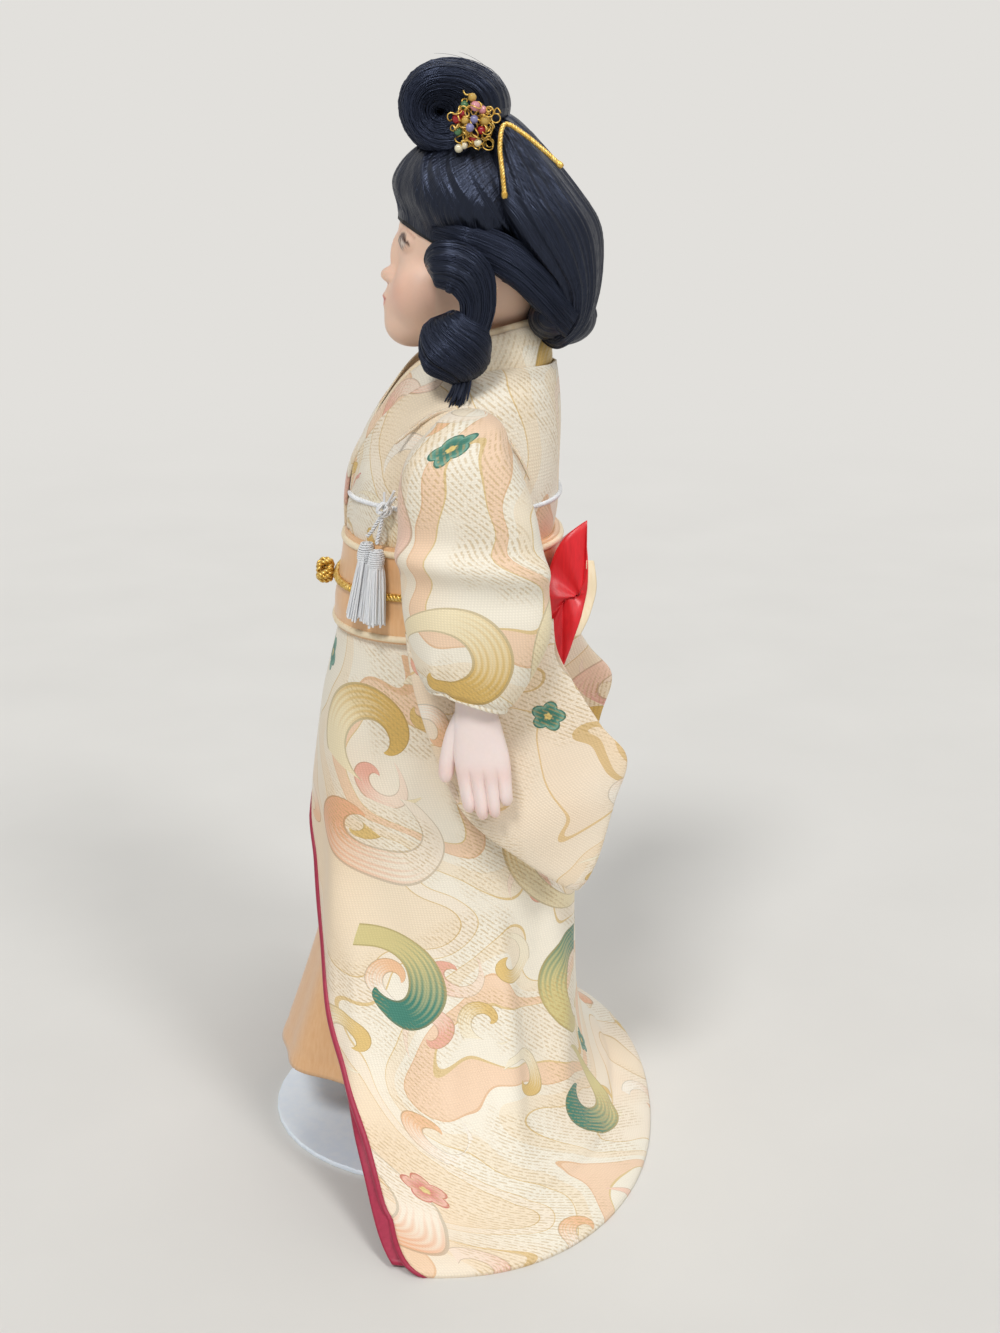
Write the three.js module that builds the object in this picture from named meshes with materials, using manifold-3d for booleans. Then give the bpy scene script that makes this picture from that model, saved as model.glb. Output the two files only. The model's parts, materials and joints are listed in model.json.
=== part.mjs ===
// Porcelain lady doll in a trailing brocade kimono, held by a waist clip on an adjustable stand.
// Millimetres, +Z up. The doll looks along -Y and its left side is +X.
// The origin is the middle of the stand base's underside, on the floor.
import * as THREE from "three";
import { mergeVertices } from "three/addons/utils/BufferGeometryUtils.js";
import Module from "manifold-3d";

const manifold = await Module();
manifold.setup();

// Clearances
const FIT = 0.3; // between pieces that touch
const RUN = 0.6; // between pieces that move past each other

// Stand
const BASE_RADIUS = 63.5;
const BASE_THICKNESS = 2;
const BASE_CHAMFER = 0.5;
const ROD_RADIUS = 2;
const ROD_BOTTOM_Z = 40;
const POST_WALL = 1;
const POST_TOP_Z = 120;
const POST_FLOOR_Z = 24;
const SCREW_RADIUS = 1.2;
const SCREW_HEAD_RADIUS = 2.6;
const SCREW_HEAD_HEIGHT = 1;
const SCREW_LENGTH = 12;
const CLIP_WIRE_RADIUS = 1.2;
const CLIP_HALF_OPENING = 40; // degrees each side of the front

// Stuffed body
const BODY_BACK_Y = 36;
const CROTCH_Z = 160;
const CROTCH_FRONT_Y = -18;
const CROTCH_HALF_WIDTH = 30;
const HIP_Z = 185;
const HIP_FRONT_Y = -24;
const HIP_HALF_WIDTH = 33;
const WAIST_Z = 215;
const WAIST_FRONT_Y = -24;
const WAIST_HALF_WIDTH = 31;
const CHEST_Z = 262;
const CHEST_FRONT_Y = -13;
const CHEST_BACK_Y = 41;
const CHEST_HALF_WIDTH = 34;
const TORSO_TOP_Z = 279;
const SHOULDER_FRONT_Y = 3;
const SHOULDER_BACK_Y = 39;
const SHOULDER_HALF_WIDTH = 30;

// Legs
const LEG_X = 14;
const LEG_Y = 3;
const THIGH_RADIUS = 12.5;
const LEG_JOINT_Z = 85;
const LEG_JOINT_RADIUS = 10;
const ANKLE_Z = 14;
const ANKLE_RADIUS = 5.5;
const FOOT_LENGTH = 34;
const FOOT_WIDTH = 13;
const FOOT_HEIGHT = 11;

// Shoulder plate and neck swivel
const NECK_Y = 26;
const NECK_RADIUS = 9.3;
const PLATE_WALL = 2.5;
const CUP_FLOOR_Z = 288.5;
const CUP_FLOOR_THICKNESS = 2.5;
const CUP_RIM_Z = 297;
const CUP_WALL = 1.9;
const NECK_FLOOR_THICKNESS = 3;
const NECK_BORE_RADIUS = 5.5;
const BOLT_RADIUS = 1.5;
const BOLT_HEAD_RADIUS = 4;
const BOLT_HEAD_HEIGHT = 2;
const SPRING_RADIUS = 2.7;
const SPRING_WIRE_RADIUS = 0.25;
const SPRING_LENGTH = 3.4;
const SPRING_TURNS = 3;
const WASHER_RADIUS = 4;
const WASHER_THICKNESS = 0.8;
const NUT_RADIUS = 3;
const NUT_HEIGHT = 1.8;

// Head
const SKULL_Y = 18;
const SKULL_Z = 338;
const SKULL_HALF_WIDTH = 23.5;
const SKULL_HALF_DEPTH = 28;
const SKULL_HALF_HEIGHT = 31;
const JAW_Y = 3;
const JAW_Z = 319;
const JAW_HALF_WIDTH = 17.5;
const JAW_HALF_DEPTH = 16;
const JAW_HALF_HEIGHT = 15.5;
const NOSE_Y = -11.5;
const NOSE_Z = 328;
const NOSE_HALF_WIDTH = 3.2;
const NOSE_HALF_DEPTH = 4.5;
const HEAD_WALL = 3;
const CROWN_Z = 357;
const PATE_WALL = 1.5;

// Wig
const CAP_WALL = 0.8;
const HAIRLINE_FRONT_Y = -10;
const HAIRLINE_FRONT_Z = 347;
const HAIRLINE_SLOPE = 28; // degrees, falling towards the nape
const CROWN_HAIR_Y = 16;
const CROWN_HAIR_Z = 352;
const CROWN_HAIR_HALF_WIDTH = 31;
const CROWN_HAIR_HALF_DEPTH = 29;
const CROWN_HAIR_HALF_HEIGHT = 24;
const HAIR_SPLIT_Y = 33;
const BACK_HAIR_Y = 40;
const BACK_HAIR_Z = 334.5;
const BACK_HAIR_HALF_WIDTH = 28;
const BACK_HAIR_HALF_DEPTH = 22;
const BACK_HAIR_HALF_HEIGHT = 33;
const BUN_Y = 10;
const BUN_Z = 384.5;
const BUN_HALF_WIDTH = 19;
const BUN_HALF_DEPTH = 18.5;
const BUN_HALF_HEIGHT = 15.5;
const BUN_SEAT_Z = 371.5;
const CURL_X = 31;
const CURL_Y = 10;
const CURL_Z = 332;
const CURL_HALF_WIDTH = 8;
const CURL_RADIUS = 11;
const RINGLET_X = 36;
const RINGLET_Y = 9;
const RINGLET_Z = 307.5;
const RINGLET_HALF_WIDTH = 9;
const RINGLET_RADIUS = 12;
const RINGLET_TAIL = 5;
const FLOWER_Y = 16.6;
const FLOWER_Z = 380;
const FLOWER_RADIUS = 4.2;
const FLOWER_SPREAD = 5.5;
const GOLD_CORD_RADIUS = 0.9;
const GOLD_CORD_DROP = 24;
const GOLD_CORD_REACH = 20;

// Arms
const SHOULDER_Y = 16;
const SHOULDER_Z = 270;
const STUB_RADIUS = 8;
const ARM_RADIUS = 7;
const ELBOW_Z = 222;
const ELBOW_RADIUS = 6.3;
const WRIST_Y = 18;
const WRIST_Z = 189;
const WRIST_RADIUS = 4.6;
const HAND_Y = 19.5;
const HAND_LENGTH = 44;
const HAND_HALF_WIDTH = 10.5;
const HAND_HALF_THICKNESS = 3.8;
const THUMB_LENGTH = 20;
const THUMB_RADIUS = 2.6;
const ARM_WIRE_RADIUS = 0.9;

// Kimono
const CLOTH = 1.5;
const SEAM_Z = 212;
const NECKLINE_HALF_WIDTH = 20;
const NECKLINE_FRONT_Y = -15.5;
const NECKLINE_FRONT_Z = 268;
const NECKLINE_SIDE_Z = 296;
const NECKLINE_BACK_Y = 44;
const NECKLINE_BACK_Z = 297;
const YOKE_HALF_WIDTH = 38;
const YOKE_FRONT_Z = 264.5;
const YOKE_SIDE_Z = 284;
const YOKE_BACK_Z = 288;
const COLLAR_WALL = 1.2;
const COLLAR_TUCK = 3;
const COLLAR_FRONT_RISE = 5;
const COLLAR_SIDE_RISE = 8;
const COLLAR_BACK_RISE = 14;
const UNDER_COLLAR_WALL = 1;
const UNDER_COLLAR_SHOW = 1.6;

// Skirt and train
const SKIRT_MIDDLE_Y = 4;
const THIGH_Z = 172;
const THIGH_FRONT_Y = -38;
const THIGH_BACK_Y = 47;
const THIGH_HALF_WIDTH = 40;
const KNEE_Z = 110;
const KNEE_FRONT_Y = -44.5;
const KNEE_BACK_Y = 52;
const KNEE_HALF_WIDTH = 41.5;
const CALF_Z = 50;
const CALF_BACK_Y = 54;
const CALF_HALF_WIDTH = 62;
const SHIN_Z = 22;
const SHIN_BACK_Y = 60;
const SHIN_HALF_WIDTH = 88;
const TRAIN_BACK_Y = 86;
const TRAIN_HALF_WIDTH = 122;
const BODY_SQUARENESS = 2.3;
const FRONT_SQUARENESS = 3.2;
const BACK_SQUARENESS = 2.2;
const OPENING_TOP_Z = 150;
const OPENING_SPREAD = 0.985;
const OPENING_CURVE = 2.2;
const CORNER_TURN = 0.22;
const CORNER_HEIGHT = 9;
const FOLD_COUNT = 7;
const FOLD_DEPTH = 5;
const HEM_ROLL = 5;
const HEM_ROLL_HEIGHT = 6;
const LINING_WALL = 0.9;
const LINING_GAP = 0.4;
const LINING_SHOW = 2.2;
const LINING_TOP_Z = 188;

// Under kimono
const UNDER_TOP_Z = 176;
const UNDER_HEM_Z = 24;
const UNDER_WALL = 1;
const UNDER_FRONT_Y = -60;
const UNDER_BACK_Y = 50;
const UNDER_HALF_WIDTH = 42;
const UNDER_FLARE = 1.5;

// Sleeves
const SLEEVE_GAP = 3.6; // between the obi's cord and the sleeve
const SLEEVE_DEPTH = 26.5;
const SLEEVE_WALL = 1.5;
const SLEEVE_EASE = 4; // between the arm and the sleeve's outer face
const POUCH_DEPTH = 6;
const CUFF_DROP = 84;
const CUFF_FRONT = -16;
const CUFF_BACK = 22;
const POUCH_DROP = 155;
const POUCH_REACH = 40;
const POUCH_REAR_DROP = 106;
const POUCH_REAR_REACH = 55;

// Obi, cords and bow
const OBI_WALL = 2.2;
const OBI_BOTTOM_Z = 204;
const OBI_TOP_Z = 236;
const PIPING_RADIUS = 0.9;
const OBI_CORD_RADIUS = 1.3;
const OBI_CORD_Z = 220;
const OBI_KNOT_RADIUS = 3.2;
const BOW_Z = 215;
const BOW_KNOT_HALF_WIDTH = 8;
const BOW_KNOT_HALF_DEPTH = 4;
const BOW_KNOT_HALF_HEIGHT = 11;
const WING_SPAN = 36;
const WING_ROOT = 9;
const WING_TIP = 27;
const WING_THICKNESS = 2.4; // at the knot and along its edges
const WING_PUFF = 9.2; // how far the folded loop stands out in front
const WING_BACK = 2.7; // and behind
const WING_EARLY = 0.6; // how soon the loop opens beside the knot
const WING_DROOP = 5;
const WING_LEAN = 4.4; // the upper corner leans back
const BOW_ROLL = 15; // degrees, the left wing is the higher one

// Chest cord and tassels
const CHEST_CORD_RADIUS = 0.6;
const CHEST_CORD_RISE = 15; // above the obi's top edge
const CHEST_KNOT_RADIUS = 3;
const CHEST_KNOT_ANGLE = 52.5; // degrees from the front towards the doll's left
const TASSEL_SPREAD = 8; // degrees each side of the knot
const TASSEL_CORD_RADIUS = 0.5;
const TASSEL_DROP = 14; // from the chest cord to the tassel's head
const TASSEL_HEAD_RADIUS = 2.4;
const TASSEL_SKIRT_RADIUS = 3.3;
const TASSEL_LENGTH = 27;

// Facets
const BODY_SIDES = 20;
const SKULL_SIDES = 16;
const SKIRT_COLUMNS = 30;
const SKIRT_ROWS = 9;

const radians = THREE.MathUtils.degToRad;
const vector = (x, y, z) => new THREE.Vector3(x, y, z);
const lerp = THREE.MathUtils.lerp;
const power = (value, exponent) => Math.sign(value) * Math.abs(value) ** exponent;
const range = (count, make) => Array.from({ length: count }, (_, i) => make(i));

// Closed meshes

function meshOf(points, triangles) {
  const geometry = new THREE.BufferGeometry();
  geometry.setAttribute("position", new THREE.Float32BufferAttribute(points.flatMap((p) => p.toArray()), 3));
  geometry.setIndex(triangles);
  return outward(geometry);
}

function outward(geometry) {
  const position = geometry.attributes.position;
  const index = geometry.index.array;
  const [a, b, c] = [vector(), vector(), vector()];
  let volume = 0;
  for (let i = 0; i < index.length; i += 3) {
    a.fromBufferAttribute(position, index[i]);
    b.fromBufferAttribute(position, index[i + 1]);
    c.fromBufferAttribute(position, index[i + 2]);
    volume += a.dot(b.cross(c));
  }
  if (volume < 0) {
    for (let i = 0; i < index.length; i += 3) {
      [index[i], index[i + 1]] = [index[i + 1], index[i]];
    }
  }
  return geometry;
}

function welded(source) {
  const bare = new THREE.BufferGeometry();
  bare.setAttribute("position", source.attributes.position);
  bare.setIndex(source.index);
  const merged = mergeVertices(bare, 1e-4);
  const kept = [];
  const index = merged.index.array;
  for (let i = 0; i < index.length; i += 3) {
    const [a, b, c] = [index[i], index[i + 1], index[i + 2]];
    if (a !== b && b !== c && c !== a) kept.push(a, b, c);
  }
  merged.setIndex(kept);
  return outward(merged);
}

function quad(list, a, b, c, d) {
  list.push(a, b, c, a, c, d);
}

// A solid through closed rings, with a flat fan at each end
function skin(rings) {
  const count = rings[0].length;
  const points = rings.flat();
  const triangles = [];
  for (let r = 0; r + 1 < rings.length; r++) {
    for (let i = 0; i < count; i++) {
      const j = (i + 1) % count;
      quad(triangles, r * count + i, r * count + j, (r + 1) * count + j, (r + 1) * count + i);
    }
  }
  for (const [ring, first, turned] of [[rings[0], 0, true], [rings.at(-1), (rings.length - 1) * count, false]]) {
    const hub = points.push(ring.reduce((sum, p) => sum.add(p), vector(0, 0, 0)).divideScalar(count)) - 1;
    for (let i = 0; i < count; i++) {
      const j = (i + 1) % count;
      triangles.push(hub, first + (turned ? j : i), first + (turned ? i : j));
    }
  }
  return meshOf(points, triangles);
}

// A cloth wall between an outer and an inner set of rows, looped round or open at both ends
function wall(outer, inner, looped) {
  const count = outer[0].length;
  const rows = outer.length;
  const points = [...outer.flat(), ...inner.flat()];
  const at = (side, row, i) => (side * rows + row) * count + (i % count);
  const triangles = [];
  const last = looped ? count : count - 1;
  for (let i = 0; i < last; i++) {
    for (let r = 0; r + 1 < rows; r++) {
      quad(triangles, at(0, r, i), at(0, r, i + 1), at(0, r + 1, i + 1), at(0, r + 1, i));
      quad(triangles, at(1, r, i), at(1, r + 1, i), at(1, r + 1, i + 1), at(1, r, i + 1));
    }
    quad(triangles, at(1, 0, i), at(1, 0, i + 1), at(0, 0, i + 1), at(0, 0, i));
    quad(triangles, at(0, rows - 1, i), at(0, rows - 1, i + 1), at(1, rows - 1, i + 1), at(1, rows - 1, i));
  }
  if (!looped) {
    for (let r = 0; r + 1 < rows; r++) {
      quad(triangles, at(1, r, 0), at(0, r, 0), at(0, r + 1, 0), at(1, r + 1, 0));
      quad(triangles, at(0, r, last), at(1, r, last), at(1, r + 1, last), at(0, r + 1, last));
    }
  }
  return meshOf(points, triangles);
}

// A round cord that follows a closed level ring
function hoop(ring, radius, sides) {
  const count = ring.length;
  const points = [];
  ring.forEach((p, i) => {
    const along = ring[(i + 1) % count].clone().sub(ring[(i + count - 1) % count]).normalize();
    for (let k = 0; k < sides; k++) {
      const turn = (2 * Math.PI * k) / sides;
      const out = radius * Math.cos(turn);
      points.push(vector(p.x + along.y * out, p.y - along.x * out, p.z + radius * Math.sin(turn)));
    }
  });
  const triangles = [];
  for (let i = 0; i < count; i++) {
    for (let k = 0; k < sides; k++) {
      const [j, m] = [(i + 1) % count, (k + 1) % sides];
      quad(triangles, i * sides + k, j * sides + k, j * sides + m, i * sides + m);
    }
  }
  return meshOf(points, triangles);
}

function tube(points, radius, sides, steps) {
  const section = new THREE.Shape(range(sides, (k) => {
    const turn = (2 * Math.PI * k) / sides;
    return new THREE.Vector2(radius * Math.cos(turn), radius * Math.sin(turn));
  }));
  const extrudePath = new THREE.CatmullRomCurve3(points);
  return welded(new THREE.ExtrudeGeometry(section, { steps, extrudePath, bevelEnabled: false }));
}

function lathe(profile, sides) {
  const turned = new THREE.LatheGeometry(profile.map(([r, z]) => new THREE.Vector2(r, z)), sides);
  return welded(turned.rotateX(Math.PI / 2));
}

function ellipsoid(x, y, z, halfWidth, halfDepth, halfHeight, sides = 14) {
  const ball = new THREE.SphereGeometry(1, sides, Math.round(sides * 0.6)).rotateX(Math.PI / 2);
  return welded(ball.scale(halfWidth, halfDepth, halfHeight).translate(x, y, z));
}

function rodAlongX(fromX, toX, y, z, radius, sides) {
  const rod = new THREE.CylinderGeometry(radius, radius, toX - fromX, sides).rotateZ(Math.PI / 2);
  return welded(rod.translate((fromX + toX) / 2, y, z));
}

function rodAlongZ(x, y, fromZ, toZ, radius, sides) {
  const rod = new THREE.CylinderGeometry(radius, radius, toZ - fromZ, sides).rotateX(Math.PI / 2);
  return welded(rod.translate(x, y, (fromZ + toZ) / 2));
}

function mirrored(geometry) {
  return outward(geometry.clone().scale(-1, 1, 1));
}

// Cutting and joining

function toSolid(geometry) {
  const mesh = new manifold.Mesh({
    numProp: 3,
    vertProperties: new Float32Array(geometry.attributes.position.array),
    triVerts: new Uint32Array(geometry.index.array),
  });
  return new manifold.Manifold(mesh);
}

function fromSolid(solid) {
  const mesh = solid.getMesh();
  const geometry = new THREE.BufferGeometry();
  geometry.setAttribute("position", new THREE.Float32BufferAttribute(mesh.vertProperties, 3));
  geometry.setIndex(Array.from(mesh.triVerts));
  return geometry;
}

const join = (...parts) => fromSolid(manifold.Manifold.union(parts.map(toSolid)));
const cut = (part, ...tools) => fromSolid(tools.reduce((left, tool) => left.subtract(toSolid(tool)), toSolid(part)));

// Keeps what lies on the side that the direction points to
function keep(part, direction, point) {
  const unit = direction.clone().normalize();
  return fromSolid(toSolid(part).trimByPlane(unit.toArray(), unit.dot(point)));
}

// A smooth value between stations that are listed from low to high
function stationAt(stations, z) {
  const last = stations.length - 1;
  const high = Math.min(Math.max(stations.findIndex((s) => s.z >= z), 1), last);
  const k = z > stations[last].z ? last : high;
  const [a, b] = [stations[k - 1], stations[k]];
  const before = stations[Math.max(k - 2, 0)];
  const after = stations[Math.min(k + 1, last)];
  const span = b.z - a.z;
  const t = THREE.MathUtils.clamp((z - a.z) / span, 0, 1);
  const value = {};
  for (const key of Object.keys(a).filter((name) => name !== "z")) {
    const startSlope = (b[key] - before[key]) / (b.z - before.z);
    const endSlope = (after[key] - a[key]) / (after.z - a.z);
    value[key] = a[key] * (1 + 2 * t) * (1 - t) ** 2 + b[key] * t * t * (3 - 2 * t)
      + span * (startSlope * t * (1 - t) ** 2 - endSlope * t * t * (1 - t));
  }
  return value;
}

const turnOf = (count, i) => (2 * Math.PI * i) / count;

// A level oval ring. The turn runs from the front to the doll's left.
function oval(count, z, shape, grow, squareness = BODY_SQUARENESS) {
  const middle = (shape.front + shape.back) / 2;
  const depth = (shape.back - shape.front) / 2 + grow;
  return range(count, (i) => {
    const turn = turnOf(count, i);
    const x = (shape.half + grow) * power(Math.sin(turn), 2 / squareness);
    return vector(x, middle - depth * power(Math.cos(turn), 2 / squareness), z);
  });
}

const round = (count, x, y, z, radiusX, radiusY = radiusX) => range(count, (i) => {
  const turn = turnOf(count, i);
  return vector(x + radiusX * Math.sin(turn), y - radiusY * Math.cos(turn), z);
});

const cupRadius = NECK_RADIUS + FIT;
const bodyStations = [
  { z: CROTCH_Z, front: CROTCH_FRONT_Y, back: BODY_BACK_Y, half: CROTCH_HALF_WIDTH },
  { z: HIP_Z, front: HIP_FRONT_Y, back: BODY_BACK_Y, half: HIP_HALF_WIDTH },
  { z: WAIST_Z, front: WAIST_FRONT_Y, back: BODY_BACK_Y, half: WAIST_HALF_WIDTH },
  { z: CHEST_Z, front: CHEST_FRONT_Y, back: CHEST_BACK_Y, half: CHEST_HALF_WIDTH },
  { z: TORSO_TOP_Z, front: SHOULDER_FRONT_Y, back: SHOULDER_BACK_Y, half: SHOULDER_HALF_WIDTH },
];
const bodyAt = (z) => stationAt(bodyStations, z);
const bodyRing = (z, grow) => oval(BODY_SIDES, z, bodyAt(z), grow);
const heights = (from, to, count) => range(count, (i) => lerp(from, to, i / (count - 1)));

// Offsets of the clothing layers from the stuffed body
const clothInside = FIT + 2 * ROD_RADIUS + FIT;
const clothOutside = clothInside + CLOTH;
const obiInside = clothOutside + RUN;
const obiOutside = obiInside + OBI_WALL;
const rodY = BODY_BACK_Y + FIT + ROD_RADIUS;
const postRadius = ROD_RADIUS + FIT + POST_WALL;
const baseTop = BASE_THICKNESS;

const material = (color, roughness, metalness = 0) => new THREE.MeshStandardMaterial({ color, roughness, metalness });
const BISQUE = material(0xf0d3c2, 0.55);
const BROCADE = material(0xe6d3b0, 0.7);
const LINING = material(0x8e1b2b, 0.6);
const PEACH = material(0xe7b48a, 0.4);
const SATIN_RED = material(0xb3141f, 0.35);
const HAIR = material(0x14110f, 0.35);
const GOLD = material(0xc69a3c, 0.4, 0.3);
const WHITE_THREAD = material(0xf2eee4, 0.8);
const ENAMEL = material(0xf1f0ec, 0.3);
const WIRE = material(0xb9b9b6, 0.35, 0.9);
const MUSLIN = material(0xe9dcc6, 0.9);
const BOARD = material(0xcbb48f, 0.85);
const FLOWER = material(0xd8b46a, 0.5);

const doll = new THREE.Group();
doll.name = "geisha_doll";

function piece(name, geometry, surface, x = 0, y = 0, z = 0) {
  const mesh = new THREE.Mesh(geometry, surface);
  mesh.name = name;
  mesh.position.set(x, y, z);
  doll.add(mesh);
  return geometry;
}

// Stand: disc, screw, post, rod and spring-wire clip
const screwHole = SCREW_RADIUS + FIT;
const headHole = SCREW_HEAD_RADIUS + FIT;
const disc = lathe([
  [0, 0],
  [BASE_RADIUS - BASE_CHAMFER, 0],
  [BASE_RADIUS, BASE_CHAMFER],
  [BASE_RADIUS, baseTop - BASE_CHAMFER],
  [BASE_RADIUS - BASE_CHAMFER, baseTop],
  [0, baseTop],
], 40);
piece("stand_base", cut(
  disc,
  rodAlongZ(0, rodY, -1, SCREW_HEAD_HEIGHT + FIT, headHole, 12),
  rodAlongZ(0, rodY, -1, baseTop + 1, screwHole, 8),
), ENAMEL);
piece("post_screw", lathe([
  [0, 0],
  [SCREW_HEAD_RADIUS, 0],
  [SCREW_HEAD_RADIUS, SCREW_HEAD_HEIGHT],
  [SCREW_RADIUS, SCREW_HEAD_HEIGHT],
  [SCREW_RADIUS, SCREW_LENGTH],
  [0, SCREW_LENGTH],
], 10), WIRE, 0, rodY, 0);
piece("stand_post", lathe([
  [0, SCREW_LENGTH + FIT],
  [screwHole, SCREW_LENGTH + FIT],
  [screwHole, baseTop + FIT],
  [postRadius, baseTop + FIT],
  [postRadius, POST_TOP_Z],
  [ROD_RADIUS + FIT, POST_TOP_Z],
  [ROD_RADIUS + FIT, POST_FLOOR_Z],
  [0, POST_FLOOR_Z],
], 14), ENAMEL, 0, rodY, 0);
const rodTop = WAIST_Z - CLIP_WIRE_RADIUS - FIT;
piece("stand_rod", rodAlongZ(0, 0, ROD_BOTTOM_Z, rodTop, ROD_RADIUS, 14), WIRE, 0, rodY, 0);
const clipRing = bodyRing(WAIST_Z, RUN + CLIP_WIRE_RADIUS);
const clipSkip = Math.round((CLIP_HALF_OPENING / 360) * BODY_SIDES);
piece("waist_clip", tube(clipRing.slice(clipSkip, BODY_SIDES - clipSkip + 1), CLIP_WIRE_RADIUS, 6, 20), WIRE);

// Stuffed body with the arm wire through it
const armBore = ARM_WIRE_RADIUS + FIT;
const torso = skin(heights(CROTCH_Z, TORSO_TOP_Z, 7).map((z) => bodyRing(z, 0)));
const reach = 2 * CHEST_HALF_WIDTH;
piece("torso", cut(torso, rodAlongX(-reach, reach, SHOULDER_Y, SHOULDER_Z, armBore, 8)), MUSLIN);

// Legs and feet
const thigh = skin([
  round(10, LEG_X, LEG_Y, LEG_JOINT_Z, LEG_JOINT_RADIUS),
  round(10, LEG_X, LEG_Y, CROTCH_Z - FIT, THIGH_RADIUS),
]);
const soleZ = baseTop + FIT;
const footY = LEG_Y + ANKLE_RADIUS - FOOT_LENGTH / 2;
const foot = ellipsoid(LEG_X, footY, soleZ + FOOT_HEIGHT / 3, FOOT_WIDTH / 2, FOOT_LENGTH / 2, FOOT_HEIGHT * 0.66, 12);
const shin = skin([
  round(10, LEG_X, LEG_Y, soleZ + 1, ANKLE_RADIUS),
  round(10, LEG_X, LEG_Y, ANKLE_Z, ANKLE_RADIUS),
  round(10, LEG_X, LEG_Y, LEG_JOINT_Z - FIT, LEG_JOINT_RADIUS),
]);
const lowerLeg = keep(join(foot, shin), vector(0, 0, 1), vector(0, 0, soleZ));
piece("left_upper_leg", thigh, MUSLIN);
piece("right_upper_leg", mirrored(thigh), MUSLIN);
piece("left_lower_leg", lowerLeg, BISQUE);
piece("right_lower_leg", mirrored(lowerLeg), BISQUE);

// Shoulder plate with the cup that the neck turns in
const cupFloorTop = CUP_FLOOR_Z + CUP_FLOOR_THICKNESS;
const cupOutside = cupRadius + CUP_WALL;
const plateRim = TORSO_TOP_Z + FIT;
const plateShape = bodyAt(TORSO_TOP_Z);
const plateTop = { front: NECK_Y - cupOutside, back: NECK_Y + cupOutside, half: cupOutside };
const plateMid = Object.fromEntries(Object.keys(plateTop).map((k) => [k, lerp(plateShape[k], plateTop[k], 0.6)]));
const plateOutside = skin([
  oval(BODY_SIDES, plateRim, plateShape, 0),
  oval(BODY_SIDES, lerp(plateRim, cupFloorTop, 0.6), plateMid, 0),
  oval(BODY_SIDES, cupFloorTop, plateTop, 0, 2),
  oval(BODY_SIDES, CUP_RIM_Z, plateTop, 0, 2),
]);
const plateHollow = skin([
  oval(BODY_SIDES, plateRim - 1, plateShape, -PLATE_WALL),
  oval(BODY_SIDES, plateRim, plateShape, -PLATE_WALL),
  oval(BODY_SIDES, lerp(plateRim, CUP_FLOOR_Z, 0.6), plateMid, -PLATE_WALL),
  oval(BODY_SIDES, CUP_FLOOR_Z, plateTop, -PLATE_WALL, 2),
]);
const boltHole = BOLT_RADIUS + FIT;
piece("shoulder_plate", cut(
  plateOutside,
  plateHollow,
  rodAlongZ(0, NECK_Y, cupFloorTop, CUP_RIM_Z + 1, cupRadius, BODY_SIDES),
  rodAlongZ(0, NECK_Y, CUP_FLOOR_Z - 1, cupFloorTop + 1, boltHole, 8),
), BISQUE);

// Neck bolt, spring, washer and nut
const neckBottom = cupFloorTop + FIT;
const neckFloorTop = neckBottom + NECK_FLOOR_THICKNESS;
const springTop = CUP_FLOOR_Z - FIT;
const washerTop = springTop - SPRING_LENGTH - FIT;
const nutTop = washerTop - WASHER_THICKNESS - FIT;
const boltFoot = nutTop - NUT_HEIGHT;
const boltHeadZ = neckFloorTop + FIT;
piece("neck_bolt", lathe([
  [0, boltFoot],
  [BOLT_RADIUS, boltFoot],
  [BOLT_RADIUS, boltHeadZ],
  [BOLT_HEAD_RADIUS, boltHeadZ],
  [BOLT_HEAD_RADIUS, boltHeadZ + BOLT_HEAD_HEIGHT],
  [0, boltHeadZ + BOLT_HEAD_HEIGHT],
], 12), WIRE, 0, NECK_Y, 0);
const coilSteps = 9 * SPRING_TURNS;
const coil = range(coilSteps + 1, (i) => {
  const turn = (2 * Math.PI * i) / 9;
  const rise = SPRING_LENGTH - 2 * SPRING_WIRE_RADIUS;
  const z = springTop - SPRING_LENGTH + SPRING_WIRE_RADIUS + (rise * i) / coilSteps;
  return vector(SPRING_RADIUS * Math.cos(turn), NECK_Y + SPRING_RADIUS * Math.sin(turn), z);
});
let coilGap = Infinity;
coil.forEach((p, i) => coil.slice(i + 5).forEach((q) => {
  coilGap = Math.min(coilGap, p.distanceTo(q) - 2 * SPRING_WIRE_RADIUS);
}));
console.log(`neck spring, least gap between its turns: ${coilGap.toFixed(2)} mm`);
piece("neck_spring", tube(coil, SPRING_WIRE_RADIUS, 4, coilSteps), WIRE);
const flatRing = (inner, outer, low, high, sides) => lathe([
  [inner, low],
  [outer, low],
  [outer, high],
  [inner, high],
  [inner, low],
], sides);
piece("neck_washer", flatRing(boltHole, WASHER_RADIUS, washerTop - WASHER_THICKNESS, washerTop, 12), WIRE, 0, NECK_Y, 0);
piece("neck_nut", flatRing(boltHole, NUT_RADIUS, boltFoot, nutTop, 6), WIRE, 0, NECK_Y, 0);

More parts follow.
